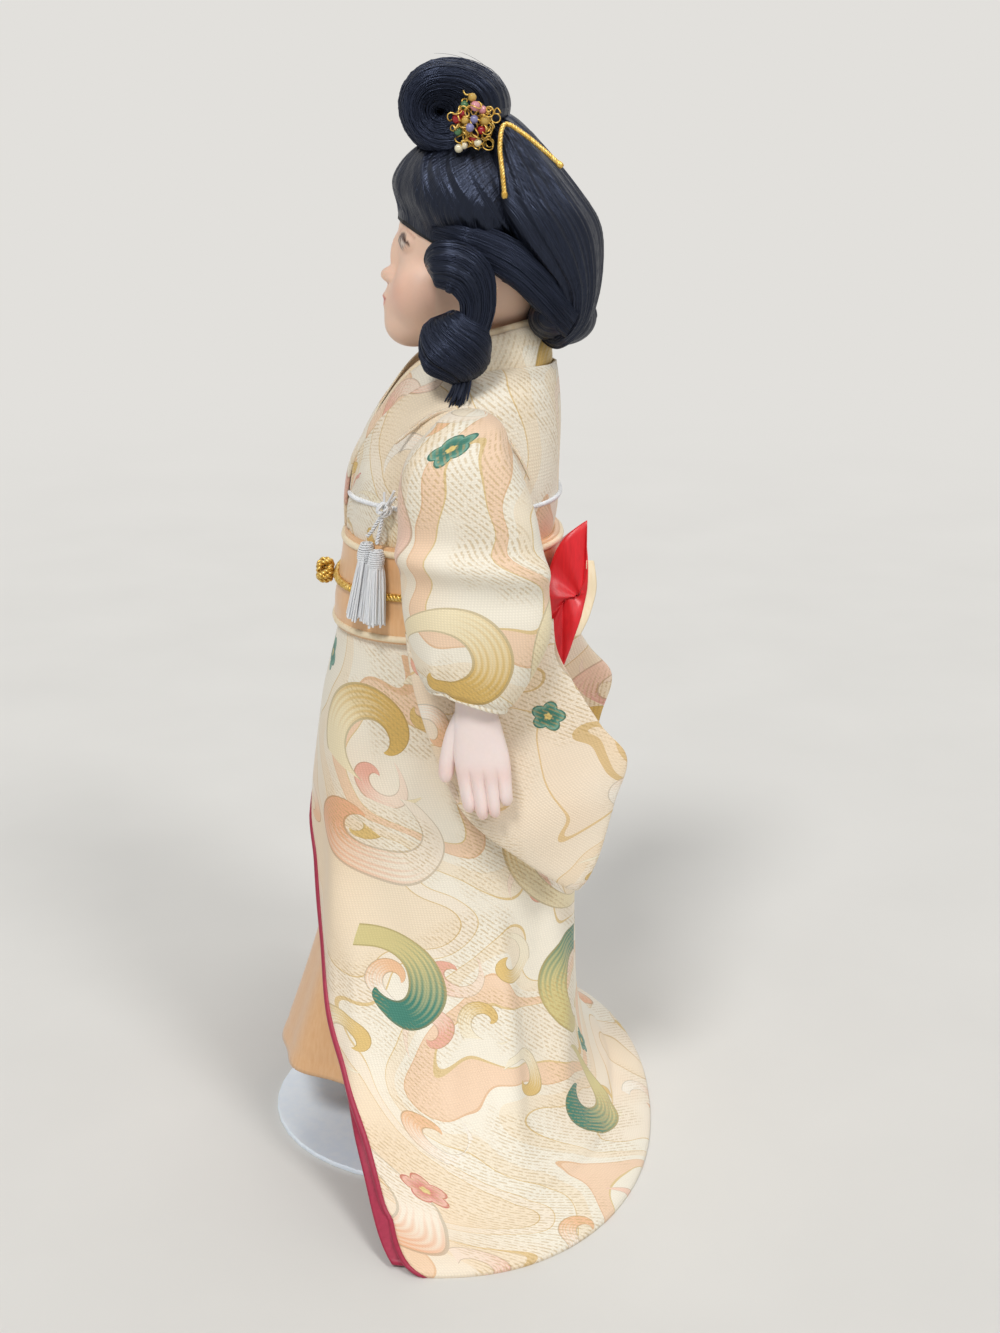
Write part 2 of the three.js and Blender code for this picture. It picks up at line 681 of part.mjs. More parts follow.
// Head with an open crown, closed by the pate
const skull = (grow) => ellipsoid(
  0, SKULL_Y, SKULL_Z, SKULL_HALF_WIDTH + grow, SKULL_HALF_DEPTH + grow, SKULL_HALF_HEIGHT + grow, SKULL_SIDES,
);
const jaw = (grow) => ellipsoid(0, JAW_Y, JAW_Z, JAW_HALF_WIDTH + grow, JAW_HALF_DEPTH + grow, JAW_HALF_HEIGHT + grow);
const nose = ellipsoid(0, NOSE_Y, NOSE_Z, NOSE_HALF_WIDTH, NOSE_HALF_DEPTH, NOSE_HALF_DEPTH, 8);
const neck = rodAlongZ(0, NECK_Y, neckBottom, SKULL_Z, NECK_RADIUS, BODY_SIDES);
const upwards = vector(0, 0, 1);
const downwards = vector(0, 0, -1);
const headShell = cut(
  join(skull(0), jaw(0), nose, neck),
  skull(-HEAD_WALL),
  rodAlongZ(0, NECK_Y, neckFloorTop, SKULL_Z, NECK_BORE_RADIUS, 10),
  rodAlongZ(0, NECK_Y, neckBottom - 1, neckFloorTop + 1, boltHole, 8),
);
piece("head", keep(headShell, downwards, vector(0, 0, CROWN_Z)), BISQUE);
piece("pate", keep(cut(skull(0), skull(-PATE_WALL)), upwards, vector(0, 0, CROWN_Z + FIT)), BOARD);

// Wig: cap, crown hair, back roll, top bun and side curls
const hairUp = vector(0, Math.sin(radians(HAIRLINE_SLOPE)), Math.cos(radians(HAIRLINE_SLOPE)));
const hairline = vector(0, HAIRLINE_FRONT_Y, HAIRLINE_FRONT_Z);
const capOutside = FIT + CAP_WALL;
piece("wig_cap", keep(cut(skull(capOutside), skull(FIT)), hairUp, hairline), MUSLIN);
const crownForm = (grow) => ellipsoid(
  0, CROWN_HAIR_Y, CROWN_HAIR_Z,
  CROWN_HAIR_HALF_WIDTH + grow, CROWN_HAIR_HALF_DEPTH + grow, CROWN_HAIR_HALF_HEIGHT + grow, SKULL_SIDES,
);
const backForm = (grow) => ellipsoid(
  0, BACK_HAIR_Y, BACK_HAIR_Z,
  BACK_HAIR_HALF_WIDTH + grow, BACK_HAIR_HALF_DEPTH + grow, BACK_HAIR_HALF_HEIGHT + grow, SKULL_SIDES,
);
const bunForm = (grow) => ellipsoid(
  0, BUN_Y, BUN_Z, BUN_HALF_WIDTH + grow, BUN_HALF_DEPTH + grow, BUN_HALF_HEIGHT + grow,
);
const scalp = skull(capOutside + FIT);
let crownHair = cut(crownForm(0), scalp);
crownHair = keep(crownHair, hairUp, hairline);
crownHair = keep(crownHair, downwards, vector(0, 0, BUN_SEAT_Z - FIT));
crownHair = keep(crownHair, vector(0, -1, 0), vector(0, HAIR_SPLIT_Y - FIT / 2, 0));
piece("hair_crown", crownHair, HAIR);
const collarBack = NECKLINE_BACK_Y - CLOTH - FIT;
const collarTop = NECKLINE_BACK_Z + COLLAR_BACK_RISE + UNDER_COLLAR_SHOW;
let backHair = cut(
  backForm(0),
  scalp,
  jaw(FIT),
  rodAlongZ(0, NECK_Y, SKULL_Z - 2 * SKULL_HALF_HEIGHT, collarTop + RUN, collarBack - NECK_Y + RUN, 20),
  rodAlongZ(0, NECK_Y, collarTop, SKULL_Z, NECK_RADIUS + FIT, BODY_SIDES),
);
backHair = keep(backHair, vector(0, 1, 0), vector(0, HAIR_SPLIT_Y + FIT / 2, 0));
backHair = keep(backHair, downwards, vector(0, 0, BUN_SEAT_Z - FIT));
piece("hair_back", backHair, HAIR);
piece("hair_bun", keep(bunForm(0), upwards, vector(0, 0, BUN_SEAT_Z)), HAIR);
const ringletFoot = RINGLET_Z - RINGLET_RADIUS;
const curl = cut(
  join(
    ellipsoid(CURL_X, CURL_Y, CURL_Z, CURL_HALF_WIDTH, CURL_RADIUS, CURL_RADIUS, 10),
    ellipsoid(RINGLET_X, RINGLET_Y, RINGLET_Z, RINGLET_HALF_WIDTH, RINGLET_RADIUS, RINGLET_RADIUS, 10),
    skin([
      round(6, RINGLET_X, RINGLET_Y + 2, ringletFoot - RINGLET_TAIL, 0.6),
      round(6, RINGLET_X, RINGLET_Y, ringletFoot + 3, 3.4),
      round(6, RINGLET_X, RINGLET_Y, RINGLET_Z, 3.4),
    ]),
    skin([
      round(6, RINGLET_X, RINGLET_Y, RINGLET_Z, RINGLET_HALF_WIDTH / 2),
      round(6, CURL_X, CURL_Y, CURL_Z, CURL_HALF_WIDTH / 2),
    ]),
  ),
  crownForm(FIT),
  backForm(FIT),
  skull(FIT),
  jaw(FIT),
);
piece("left_side_curl", curl, HAIR);
piece("right_side_curl", mirrored(curl), HAIR);

// Hair ornament: a flower spray at the bun and a gold cord tucked behind it
function sideOf(y, z) {
  const within = (cy, cz, halfWidth, halfDepth, halfHeight) => {
    const left = 1 - ((y - cy) / halfDepth) ** 2 - ((z - cz) / halfHeight) ** 2;
    return left > 0 ? halfWidth * Math.sqrt(left) : 0;
  };
  return Math.max(
    within(CROWN_HAIR_Y, CROWN_HAIR_Z, CROWN_HAIR_HALF_WIDTH, CROWN_HAIR_HALF_DEPTH, CROWN_HAIR_HALF_HEIGHT),
    within(BACK_HAIR_Y, BACK_HAIR_Z, BACK_HAIR_HALF_WIDTH, BACK_HAIR_HALF_DEPTH, BACK_HAIR_HALF_HEIGHT),
    within(BUN_Y, BUN_Z, BUN_HALF_WIDTH, BUN_HALF_DEPTH, BUN_HALF_HEIGHT),
  );
}
const blooms = range(6, (i) => {
  const turn = turnOf(5, i);
  const away = i < 5 ? FLOWER_SPREAD : 0;
  const y = FLOWER_Y + 0.6 * away * Math.cos(turn);
  const z = FLOWER_Z + 1.2 * away * Math.sin(turn);
  const radius = FLOWER_RADIUS * (i < 5 ? 0.8 : 1);
  return ellipsoid(sideOf(y, z) + radius * 0.7, y, z, radius, radius, radius, 6);
});
const flowers = keep(
  cut(join(...blooms), bunForm(FIT), crownForm(FIT), backForm(FIT)),
  upwards,
  vector(0, 0, BUN_SEAT_Z - FLOWER_RADIUS),
);
piece("ornament_flowers", flowers, FLOWER);
const cordY = FLOWER_Y + FLOWER_SPREAD + FLOWER_RADIUS + GOLD_CORD_RADIUS;
const onHair = (y, z) => vector(sideOf(y, z) + GOLD_CORD_RADIUS + RUN, y, z);
const goldCord = tube([
  onHair(cordY + 1, FLOWER_Z - GOLD_CORD_DROP),
  onHair(cordY, FLOWER_Z - GOLD_CORD_DROP * 0.66),
  onHair(cordY - 0.5, FLOWER_Z - GOLD_CORD_DROP * 0.33),
  onHair(cordY + 1.5, FLOWER_Z - 2),
  onHair(cordY + GOLD_CORD_REACH * 0.35, FLOWER_Z - 4),
  onHair(cordY + GOLD_CORD_REACH * 0.7, FLOWER_Z - 9),
  onHair(cordY + GOLD_CORD_REACH, FLOWER_Z - 15),
], GOLD_CORD_RADIUS, 5, 15);
piece("ornament_cord", cut(goldCord, crownForm(FIT), backForm(FIT), bunForm(FIT)), GOLD);

// Kimono bodice and collars
const ringWith = (half, front, back, frontZ, sideZ, backZ) => range(BODY_SIDES, (i) => {
  const turn = turnOf(BODY_SIDES, i);
  const cosine = Math.cos(turn);
  const z = sideZ - ((backZ - frontZ) / 2) * cosine + ((backZ + frontZ) / 2 - sideZ) * cosine ** 2;
  return vector(half * Math.sin(turn), (front + back) / 2 - ((back - front) / 2) * cosine, z);
});
const necklineRing = (inset, frontRise, sideRise, backRise) => ringWith(
  NECKLINE_HALF_WIDTH - inset, NECKLINE_FRONT_Y + inset, NECKLINE_BACK_Y - inset,
  NECKLINE_FRONT_Z + frontRise, NECKLINE_SIDE_Z + sideRise, NECKLINE_BACK_Z + backRise,
);
const yokeRing = (inset) => ringWith(
  YOKE_HALF_WIDTH - inset,
  (NECKLINE_FRONT_Y + CHEST_FRONT_Y - clothOutside) / 2 + inset,
  (NECKLINE_BACK_Y + CHEST_BACK_Y + clothOutside) / 2 - inset,
  YOKE_FRONT_Z - inset / 2, YOKE_SIDE_Z - inset, YOKE_BACK_Z - inset / 2,
);
const bodiceHeights = heights(SEAM_Z + FIT / 2, CHEST_Z - 2, 4);
const bodice = wall(
  [...bodiceHeights.map((z) => bodyRing(z, clothOutside)), yokeRing(0), necklineRing(0, 0, 0, 0)],
  [...bodiceHeights.map((z) => bodyRing(z, clothInside)), yokeRing(CLOTH), necklineRing(CLOTH, 0, 0, 0)],
  true,
);
const armHole = STUB_RADIUS + RUN;
piece("kimono_bodice", cut(bodice, rodAlongX(-reach, reach, SHOULDER_Y, SHOULDER_Z, armHole, 14)), BROCADE);
const collarWall = (inset, thickness, show) => wall(
  [
    necklineRing(inset, -COLLAR_TUCK + 2, -COLLAR_TUCK, -COLLAR_TUCK),
    necklineRing(inset, COLLAR_FRONT_RISE + show, COLLAR_SIDE_RISE + show, COLLAR_BACK_RISE + show),
  ],
  [
    necklineRing(inset + thickness, -COLLAR_TUCK + 2, -COLLAR_TUCK, -COLLAR_TUCK),
    necklineRing(inset + thickness, COLLAR_FRONT_RISE + show, COLLAR_SIDE_RISE + show, COLLAR_BACK_RISE + show),
  ],
  true,
);
piece("kimono_collar", collarWall(CLOTH + FIT, COLLAR_WALL, 0), BROCADE);
piece("under_collar", collarWall(CLOTH + 2 * FIT + COLLAR_WALL, UNDER_COLLAR_WALL, UNDER_COLLAR_SHOW), PEACH);

// Kimono skirt with its train, open in front, and its lining
const gathered = (z) => {
  const { front, back, half } = bodyAt(z);
  return {
    z,
    front: front - clothOutside,
    back: back + clothOutside,
    half: half + clothOutside,
    middle: (front + back) / 2,
    frontSquare: BODY_SQUARENESS,
    backSquare: BODY_SQUARENESS,
  };
};
const draped = (z, front, back, half) => ({
  z, front, back, half, middle: SKIRT_MIDDLE_Y, frontSquare: FRONT_SQUARENESS, backSquare: BACK_SQUARENESS,
});
const skirtStations = [
  draped(0, KNEE_FRONT_Y, TRAIN_BACK_Y, TRAIN_HALF_WIDTH),
  draped(SHIN_Z, KNEE_FRONT_Y, SHIN_BACK_Y, SHIN_HALF_WIDTH),
  draped(CALF_Z, KNEE_FRONT_Y, CALF_BACK_Y, CALF_HALF_WIDTH),
  draped(KNEE_Z, KNEE_FRONT_Y, KNEE_BACK_Y, KNEE_HALF_WIDTH),
  draped(THIGH_Z, THIGH_FRONT_Y, THIGH_BACK_Y, THIGH_HALF_WIDTH),
  gathered(OBI_BOTTOM_Z),
  gathered(SEAM_Z),
];
const skirtTop = SEAM_Z - FIT / 2;
const openingHalf = (z) => {
  const spread = OPENING_SPREAD * (1 - Math.min(z / OPENING_TOP_Z, 1) ** OPENING_CURVE);
  return Math.max(spread * stationAt(skirtStations, z).half, FIT + LINING_SHOW);
};
function skirtPoint(turn, z, inset) {
  const shape = stationAt(skirtStations, z);
  const cosine = Math.cos(turn);
  const squareness = cosine > 0 ? shape.frontSquare : shape.backSquare;
  const depth = cosine > 0 ? shape.middle - shape.front : shape.back - shape.middle;
  const t = Math.min(z / OBI_BOTTOM_Z, 1);
  const fold = FOLD_DEPTH * 4 * t * (1 - t) ** 2 * (0.5 + 0.5 * Math.cos(FOLD_COUNT * turn));
  const grow = fold - inset;
  return vector(
    (shape.half + grow) * power(Math.sin(turn), 2 / squareness),
    shape.middle - (depth + grow) * power(cosine, 2 / squareness),
    z,
  );
}
const edgeTurn = (z, show) => {
  const { half, frontSquare } = stationAt(skirtStations, z);
  const corner = CORNER_TURN * Math.exp(-z / CORNER_HEIGHT);
  return corner + Math.asin((Math.max(openingHalf(z) - show, FIT) / half) ** (frontSquare / 2));
};
const turnsAt = (z) => {
  const edge = edgeTurn(z, 0);
  return range(SKIRT_COLUMNS + 1, (i) => lerp(edge, 2 * Math.PI - edge, i / SKIRT_COLUMNS));
};
const skirtRows = [...range(SKIRT_ROWS + 1, (i) => OBI_BOTTOM_Z * (i / SKIRT_ROWS) ** 1.5), skirtTop];
const hemAt = (z) => HEM_ROLL * Math.exp(-z / HEM_ROLL_HEIGHT);
const skirtRow = (z, inset) => turnsAt(z).map((turn) => skirtPoint(turn, z, inset));
piece("kimono_skirt", wall(
  skirtRows.map((z) => skirtRow(z, 0)),
  skirtRows.map((z) => skirtRow(z, CLOTH + hemAt(z))),
  false,
), BROCADE);
const liningInset = (z) => CLOTH + hemAt(z) + LINING_GAP;
const liningRow = (z, inset) => {
  const edge = edgeTurn(z, LINING_SHOW);
  return [edge, ...turnsAt(z), 2 * Math.PI - edge].map((turn) => skirtPoint(turn, z, inset));
};
const liningRows = skirtRows.filter((z) => z > 0 && z < LINING_TOP_Z);
piece("kimono_lining", wall(
  liningRows.map((z) => liningRow(z, liningInset(z))),
  liningRows.map((z) => liningRow(z, liningInset(z) + LINING_WALL)),
  false,
), LINING);

// Under kimono, a plain flared skirt over legs and post
const underTop = {
  front: bodyAt(UNDER_TOP_Z).front - RUN - UNDER_WALL,
  back: rodY + ROD_RADIUS + FIT + UNDER_WALL,
  half: bodyAt(UNDER_TOP_Z).half + RUN + UNDER_WALL,
};
const underRing = (z, inset) => {
  const fall = ((UNDER_TOP_Z - z) / (UNDER_TOP_Z - UNDER_HEM_Z)) ** UNDER_FLARE;
  const shape = {
    front: lerp(underTop.front, UNDER_FRONT_Y, fall),
    back: lerp(underTop.back, UNDER_BACK_Y, fall),
    half: lerp(underTop.half, UNDER_HALF_WIDTH, fall),
  };
  return oval(BODY_SIDES, z, shape, -inset);
};
const underHeights = heights(UNDER_HEM_Z, UNDER_TOP_Z, 6);
piece("under_kimono", wall(
  underHeights.map((z) => underRing(z, 0)),
  underHeights.map((z) => underRing(z, UNDER_WALL)),
  true,
), PEACH);

// Obi with piped edges, braided cord and knot
const obiHeights = heights(OBI_BOTTOM_Z, OBI_TOP_Z, 4);
piece("obi", wall(
  obiHeights.map((z) => bodyRing(z, obiOutside)),
  obiHeights.map((z) => bodyRing(z, obiInside)),
  true,
), PEACH);
const pipingOut = obiOutside + FIT + PIPING_RADIUS;
piece("obi_upper_piping", hoop(bodyRing(OBI_TOP_Z - PIPING_RADIUS, pipingOut), PIPING_RADIUS, 5), PEACH);
piece("obi_lower_piping", hoop(bodyRing(OBI_BOTTOM_Z + PIPING_RADIUS, pipingOut), PIPING_RADIUS, 5), PEACH);
const obiCordOut = obiOutside + FIT + OBI_CORD_RADIUS;
piece("obi_cord", hoop(bodyRing(OBI_CORD_Z, obiCordOut), OBI_CORD_RADIUS, 6), GOLD);
const overCord = obiOutside + FIT + 2 * OBI_CORD_RADIUS + FIT;
piece("obi_cord_knot", ellipsoid(
  0, bodyAt(OBI_CORD_Z).front - overCord - OBI_KNOT_RADIUS, OBI_CORD_Z,
  OBI_KNOT_RADIUS * 1.5, OBI_KNOT_RADIUS, OBI_KNOT_RADIUS, 10,
), GOLD);

// Bow at the back of the obi
const bowY = bodyAt(BOW_Z).back + overCord + BOW_KNOT_HALF_DEPTH;
const askew = (geometry) => geometry.translate(0, -bowY, -BOW_Z)
  .rotateY(radians(-BOW_ROLL))
  .translate(0, bowY, BOW_Z);
piece("bow_knot", askew(ellipsoid(
  0, bowY, BOW_Z, BOW_KNOT_HALF_WIDTH, BOW_KNOT_HALF_DEPTH, BOW_KNOT_HALF_HEIGHT, 12,
)), SATIN_RED);
const wingRing = (share) => {
  const x = lerp(BOW_KNOT_HALF_WIDTH + FIT, WING_SPAN, share);
  const half = lerp(WING_ROOT, WING_TIP, share);
  const open = share * (1 + WING_EARLY * (1 - share));
  const levels = [-1, -0.5, 0, 0.5, 1];
  const spot = (level, out) => vector(
    x, bowY + WING_LEAN * share * level + out, BOW_Z - WING_DROOP * share + half * level,
  );
  const rear = levels.map((level) => spot(level, WING_THICKNESS / 2 + WING_BACK * open * (1 - level * level) ** 2));
  const front = levels.map((level) => spot(level, -WING_THICKNESS / 2 - WING_PUFF * open * (1 - level ** 4)));
  return [...rear, ...front.reverse()];
};
const wing = skin(range(5, (i) => wingRing(i / 4)));
piece("bow_left_wing", askew(wing.clone()), SATIN_RED);
piece("bow_right_wing", askew(mirrored(wing)), SATIN_RED);

// Chest cord, its knot and two tassels
const onBody = (degrees, z, out) => {
  const shape = bodyAt(z);
  const turn = radians(degrees);
  const middle = (shape.front + shape.back) / 2;
  const depth = (shape.back - shape.front) / 2 + out;
  const bend = 2 / BODY_SQUARENESS;
  return vector((shape.half + out) * power(Math.sin(turn), bend), middle - depth * power(Math.cos(turn), bend), z);
};
const chestCordZ = OBI_TOP_Z + CHEST_CORD_RISE;
const tasselTop = chestCordZ - TASSEL_DROP;
const chestCordOut = clothOutside + RUN + CHEST_CORD_RADIUS;
piece("chest_cord", hoop(bodyRing(chestCordZ, chestCordOut), CHEST_CORD_RADIUS, 5), WHITE_THREAD);
const knotAt = onBody(CHEST_KNOT_ANGLE, chestCordZ, chestCordOut + CHEST_CORD_RADIUS + FIT + CHEST_KNOT_RADIUS);
piece("chest_knot", ellipsoid(
  knotAt.x, knotAt.y, knotAt.z, CHEST_KNOT_RADIUS, CHEST_KNOT_RADIUS, CHEST_KNOT_RADIUS, 9,
), WHITE_THREAD);
const tassel = (degrees) => {
  const top = onBody(degrees, OBI_CORD_Z, overCord + RUN + TASSEL_SKIRT_RADIUS);
  top.z = tasselTop;
  const start = top.clone().sub(knotAt).setLength(CHEST_KNOT_RADIUS + FIT).add(knotAt);
  const cord = tube([start, start.clone().lerp(top, 0.5), top.clone().setZ(tasselTop - 2)], TASSEL_CORD_RADIUS, 5, 4);
  const thread = lathe([
    [0, -TASSEL_LENGTH],
    [TASSEL_SKIRT_RADIUS, -TASSEL_LENGTH],
    [TASSEL_HEAD_RADIUS * 0.9, -2.6 * TASSEL_HEAD_RADIUS],
    [TASSEL_HEAD_RADIUS * 0.75, -2.1 * TASSEL_HEAD_RADIUS],
    [TASSEL_HEAD_RADIUS, -1.1 * TASSEL_HEAD_RADIUS],
    [TASSEL_HEAD_RADIUS * 0.6, -0.2 * TASSEL_HEAD_RADIUS],
    [0, 0],
  ], 10).translate(top.x, top.y, top.z);
  return join(cord, thread);
};
piece("front_tassel", tassel(CHEST_KNOT_ANGLE - TASSEL_SPREAD), WHITE_THREAD);
piece("rear_tassel", tassel(CHEST_KNOT_ANGLE + TASSEL_SPREAD), WHITE_THREAD);

// Arms with porcelain hands, on the wire through the shoulders
const sleeveInside = WAIST_HALF_WIDTH + obiOutside + FIT + 2 * PIPING_RADIUS + SLEEVE_GAP;
const sleeveOutside = sleeveInside + SLEEVE_DEPTH;
const pouchOutside = sleeveInside + POUCH_DEPTH;
const armX = sleeveOutside - SLEEVE_WALL - SLEEVE_EASE - STUB_RADIUS;
const stubX = Math.max(bodyAt(SHOULDER_Z - STUB_RADIUS).half, bodyAt(SHOULDER_Z).half) + FIT;
const wireEnd = armX - FIT;
piece("arm_wire", rodAlongX(-wireEnd, wireEnd, SHOULDER_Y, SHOULDER_Z, ARM_WIRE_RADIUS, 8), WIRE);
const armForm = (grow) => join(
  rodAlongX(stubX - grow, armX, SHOULDER_Y, SHOULDER_Z, STUB_RADIUS + grow, 12),
  ellipsoid(armX, SHOULDER_Y, SHOULDER_Z, STUB_RADIUS + grow, STUB_RADIUS + grow, STUB_RADIUS + grow, 12),
  skin([
    round(12, armX, lerp(SHOULDER_Y, WRIST_Y, 0.6), ELBOW_Z - grow, ELBOW_RADIUS + grow),
    round(12, armX, SHOULDER_Y, SHOULDER_Z, ARM_RADIUS + grow),
  ]),
);
const upperArm = cut(armForm(0), rodAlongX(0, armX, SHOULDER_Y, SHOULDER_Z, armBore, 8));
piece("left_upper_arm", upperArm, MUSLIN);
piece("right_upper_arm", mirrored(upperArm), MUSLIN);
const handTip = WRIST_Z - HAND_LENGTH;
const forearmForm = (grow) => join(
  skin([
    round(12, armX, HAND_Y + 1, handTip - grow, HAND_HALF_THICKNESS * 0.45 + grow, HAND_HALF_WIDTH * 0.6 + grow),
    round(12, armX, HAND_Y, handTip + HAND_LENGTH * 0.3, HAND_HALF_THICKNESS * 0.8 + grow, HAND_HALF_WIDTH * 0.9 + grow),
    round(12, armX, HAND_Y, handTip + HAND_LENGTH * 0.6, HAND_HALF_THICKNESS + grow, HAND_HALF_WIDTH + grow),
    round(12, armX, WRIST_Y, WRIST_Z, WRIST_RADIUS * 0.85 + grow, WRIST_RADIUS + grow),
    round(12, armX, lerp(SHOULDER_Y, WRIST_Y, 0.6), ELBOW_Z - FIT, ELBOW_RADIUS + grow),
  ]),
  skin([
    round(6, armX, HAND_Y - HAND_HALF_WIDTH - 1, WRIST_Z - 12 - THUMB_LENGTH, THUMB_RADIUS * 0.5 + grow),
    round(6, armX, HAND_Y - HAND_HALF_WIDTH + 1, WRIST_Z - 12 - THUMB_LENGTH * 0.6, THUMB_RADIUS + grow),
    round(6, armX, WRIST_Y, WRIST_Z - 10, THUMB_RADIUS + grow),
  ]),
);
piece("left_forearm", forearmForm(0), BISQUE);
piece("right_forearm", mirrored(forearmForm(0)), BISQUE);

// Long hanging sleeves
const sleeveRing = (front, rear, inside, outside) => {
  const [fy, fz] = front;
  const [ry, rz] = rear;
  return range(14, (i) => {
    const turn = turnOf(14, i);
    const along = 0.5 - 0.5 * power(Math.cos(turn), 0.8);
    const x = (inside + outside) / 2 + ((outside - inside) / 2) * power(Math.sin(turn), 0.8);
    return vector(x, SHOULDER_Y + lerp(fy, ry, along), SHOULDER_Z + lerp(fz, rz, along));
  });
};
const nearBody = YOKE_HALF_WIDTH + clothOutside - clothInside + RUN + 1;
const sleeveForm = (inset, drop) => skin([
  sleeveRing([CUFF_FRONT + inset, -CUFF_DROP + 2 - drop], [CUFF_BACK - inset, -CUFF_DROP - 2 - drop],
    sleeveInside + inset, sleeveOutside - inset),
  sleeveRing([CUFF_FRONT - 7 + inset, -55], [CUFF_BACK + 6 - inset, -50], sleeveInside + inset, sleeveOutside - inset),
  sleeveRing([CUFF_FRONT - 8.5 + inset, -22], [CUFF_BACK - inset, -18], sleeveInside + inset, sleeveOutside - inset),
  sleeveRing([CUFF_FRONT - 6 + inset, 2], [CUFF_BACK - 8 - inset, 5], nearBody + inset, sleeveOutside - 2 - inset),
  sleeveRing([CUFF_FRONT + 3 + inset, 13 - inset], [11 - inset, 14 - inset], nearBody + inset, sleeveOutside - 12 - inset),
  sleeveRing([-7 + inset, 17 - inset], [6 - inset, 17 - inset], nearBody + 2 + inset, sleeveOutside - 20 - inset),
]);
const pouchFront = [POUCH_REACH - 7, -POUCH_DROP];
const pouchRear = [POUCH_REAR_REACH, -POUCH_REAR_DROP];
const pouch = skin([
  sleeveRing(pouchFront, [POUCH_REACH + 6, -POUCH_DROP + 13], sleeveInside + 1, pouchOutside - 1),
  sleeveRing([POUCH_REACH - 23, -POUCH_DROP + 10], [POUCH_REAR_REACH - 4, -POUCH_REAR_DROP - 17],
    sleeveInside, pouchOutside),
  sleeveRing([POUCH_REACH - 41, -POUCH_DROP + 25], pouchRear, sleeveInside, pouchOutside),
  sleeveRing([CUFF_FRONT + 5, -POUCH_DROP + 44], [POUCH_REAR_REACH - 10, -POUCH_REAR_DROP + 13],
    sleeveInside, pouchOutside),
  sleeveRing([CUFF_FRONT - 4, -CUFF_DROP + 2], [CUFF_BACK + 9, -CUFF_DROP + 15], sleeveInside, pouchOutside),
  sleeveRing([CUFF_FRONT - 7, -60], [CUFF_BACK + 6.5, -55], sleeveInside, pouchOutside),
]);
const sleeveShell = cut(sleeveForm(0, 0), sleeveForm(SLEEVE_WALL, 4));
const sleeve = cut(
  join(sleeveShell, pouch),
  rodAlongX(0, armX, SHOULDER_Y, SHOULDER_Z, STUB_RADIUS + FIT, 12),
);
piece("left_sleeve", sleeve, BROCADE);
piece("right_sleeve", mirrored(sleeve), BROCADE);

console.log(`arm axis y ${SHOULDER_Y} z ${SHOULDER_Z}, stub from x ${stubX.toFixed(1)} to ${armX.toFixed(1)}`);
console.log(`rod and post axis y ${rodY}, sleeves from x ${sleeveInside.toFixed(1)} to ${sleeveOutside.toFixed(1)}`);
console.log(`chest knot at ${knotAt.toArray().map((v) => v.toFixed(1)).join(", ")}`);

export default doll;
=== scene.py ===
# %% [markdown]
# # A porcelain lady doll in a trailing kimono
# The doll is a collector's figure about 400 mm tall. Its head and hands are unglazed porcelain, which doll
# makers call bisque, on a stuffed cloth body. It wears a brocade kimono with a train and hanging sleeves, a
# satin sash with a bow, and a black wig that is dressed into a bun, a roll and side curls.
# The solids of the frame give the sizes and the joints. This lesson makes the cloth, hair and porcelain that
# the eye sees, in metres, in the same place.

# %% The frame
import json
import math

import bmesh
import bpy
import numpy as np
from mathutils import Matrix, Vector

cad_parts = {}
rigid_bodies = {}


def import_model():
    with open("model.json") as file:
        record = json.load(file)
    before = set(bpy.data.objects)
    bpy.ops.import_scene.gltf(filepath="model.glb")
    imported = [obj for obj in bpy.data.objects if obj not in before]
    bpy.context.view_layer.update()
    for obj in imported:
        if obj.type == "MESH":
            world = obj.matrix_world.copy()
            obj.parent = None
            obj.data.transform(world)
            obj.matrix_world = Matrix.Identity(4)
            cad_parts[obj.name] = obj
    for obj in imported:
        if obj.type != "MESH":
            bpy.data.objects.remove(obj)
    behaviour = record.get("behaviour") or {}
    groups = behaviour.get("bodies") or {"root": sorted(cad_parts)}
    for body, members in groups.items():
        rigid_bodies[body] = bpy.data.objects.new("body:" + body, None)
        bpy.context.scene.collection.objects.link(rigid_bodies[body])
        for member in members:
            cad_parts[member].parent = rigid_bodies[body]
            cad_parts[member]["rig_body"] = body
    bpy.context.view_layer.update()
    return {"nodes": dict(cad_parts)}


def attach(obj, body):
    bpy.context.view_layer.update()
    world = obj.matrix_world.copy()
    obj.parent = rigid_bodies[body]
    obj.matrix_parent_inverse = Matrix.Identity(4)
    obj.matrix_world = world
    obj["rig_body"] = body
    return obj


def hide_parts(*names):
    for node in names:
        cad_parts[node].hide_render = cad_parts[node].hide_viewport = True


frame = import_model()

MM = 0.001
nodes = frame["nodes"]
print("solids in the frame:", len(nodes))

# %% [markdown]
# ## Camera, light and floor
# The photograph looks at the doll's left side from a little above. The camera stands there, with the lens
# that gives the same perspective. Four soft lamps like large studio panels and a pale sky light the doll, at
# a level where a colour looks as it is written. The sky is shown as a plain pale background, also to what
# mirrors it, and the floor keeps the doll's shadow.

# %% Camera
VIEW_DOWN = math.radians(17.5)
camera_data = bpy.data.cameras.new("camera")
camera_data.sensor_fit = "VERTICAL"
camera_data.sensor_height = 36
camera_data.lens = 52
camera = bpy.data.objects.new("camera", camera_data)
camera.location = (0.690, 0.026, 0.400)
look = Vector((-math.cos(VIEW_DOWN), 0, -math.sin(VIEW_DOWN)))
camera.rotation_euler = look.to_track_quat("-Z", "Y").to_euler()
bpy.context.scene.collection.objects.link(camera)
bpy.context.scene.camera = camera
bpy.context.scene.view_settings.view_transform = "Standard"
print("camera at", tuple(camera.location))


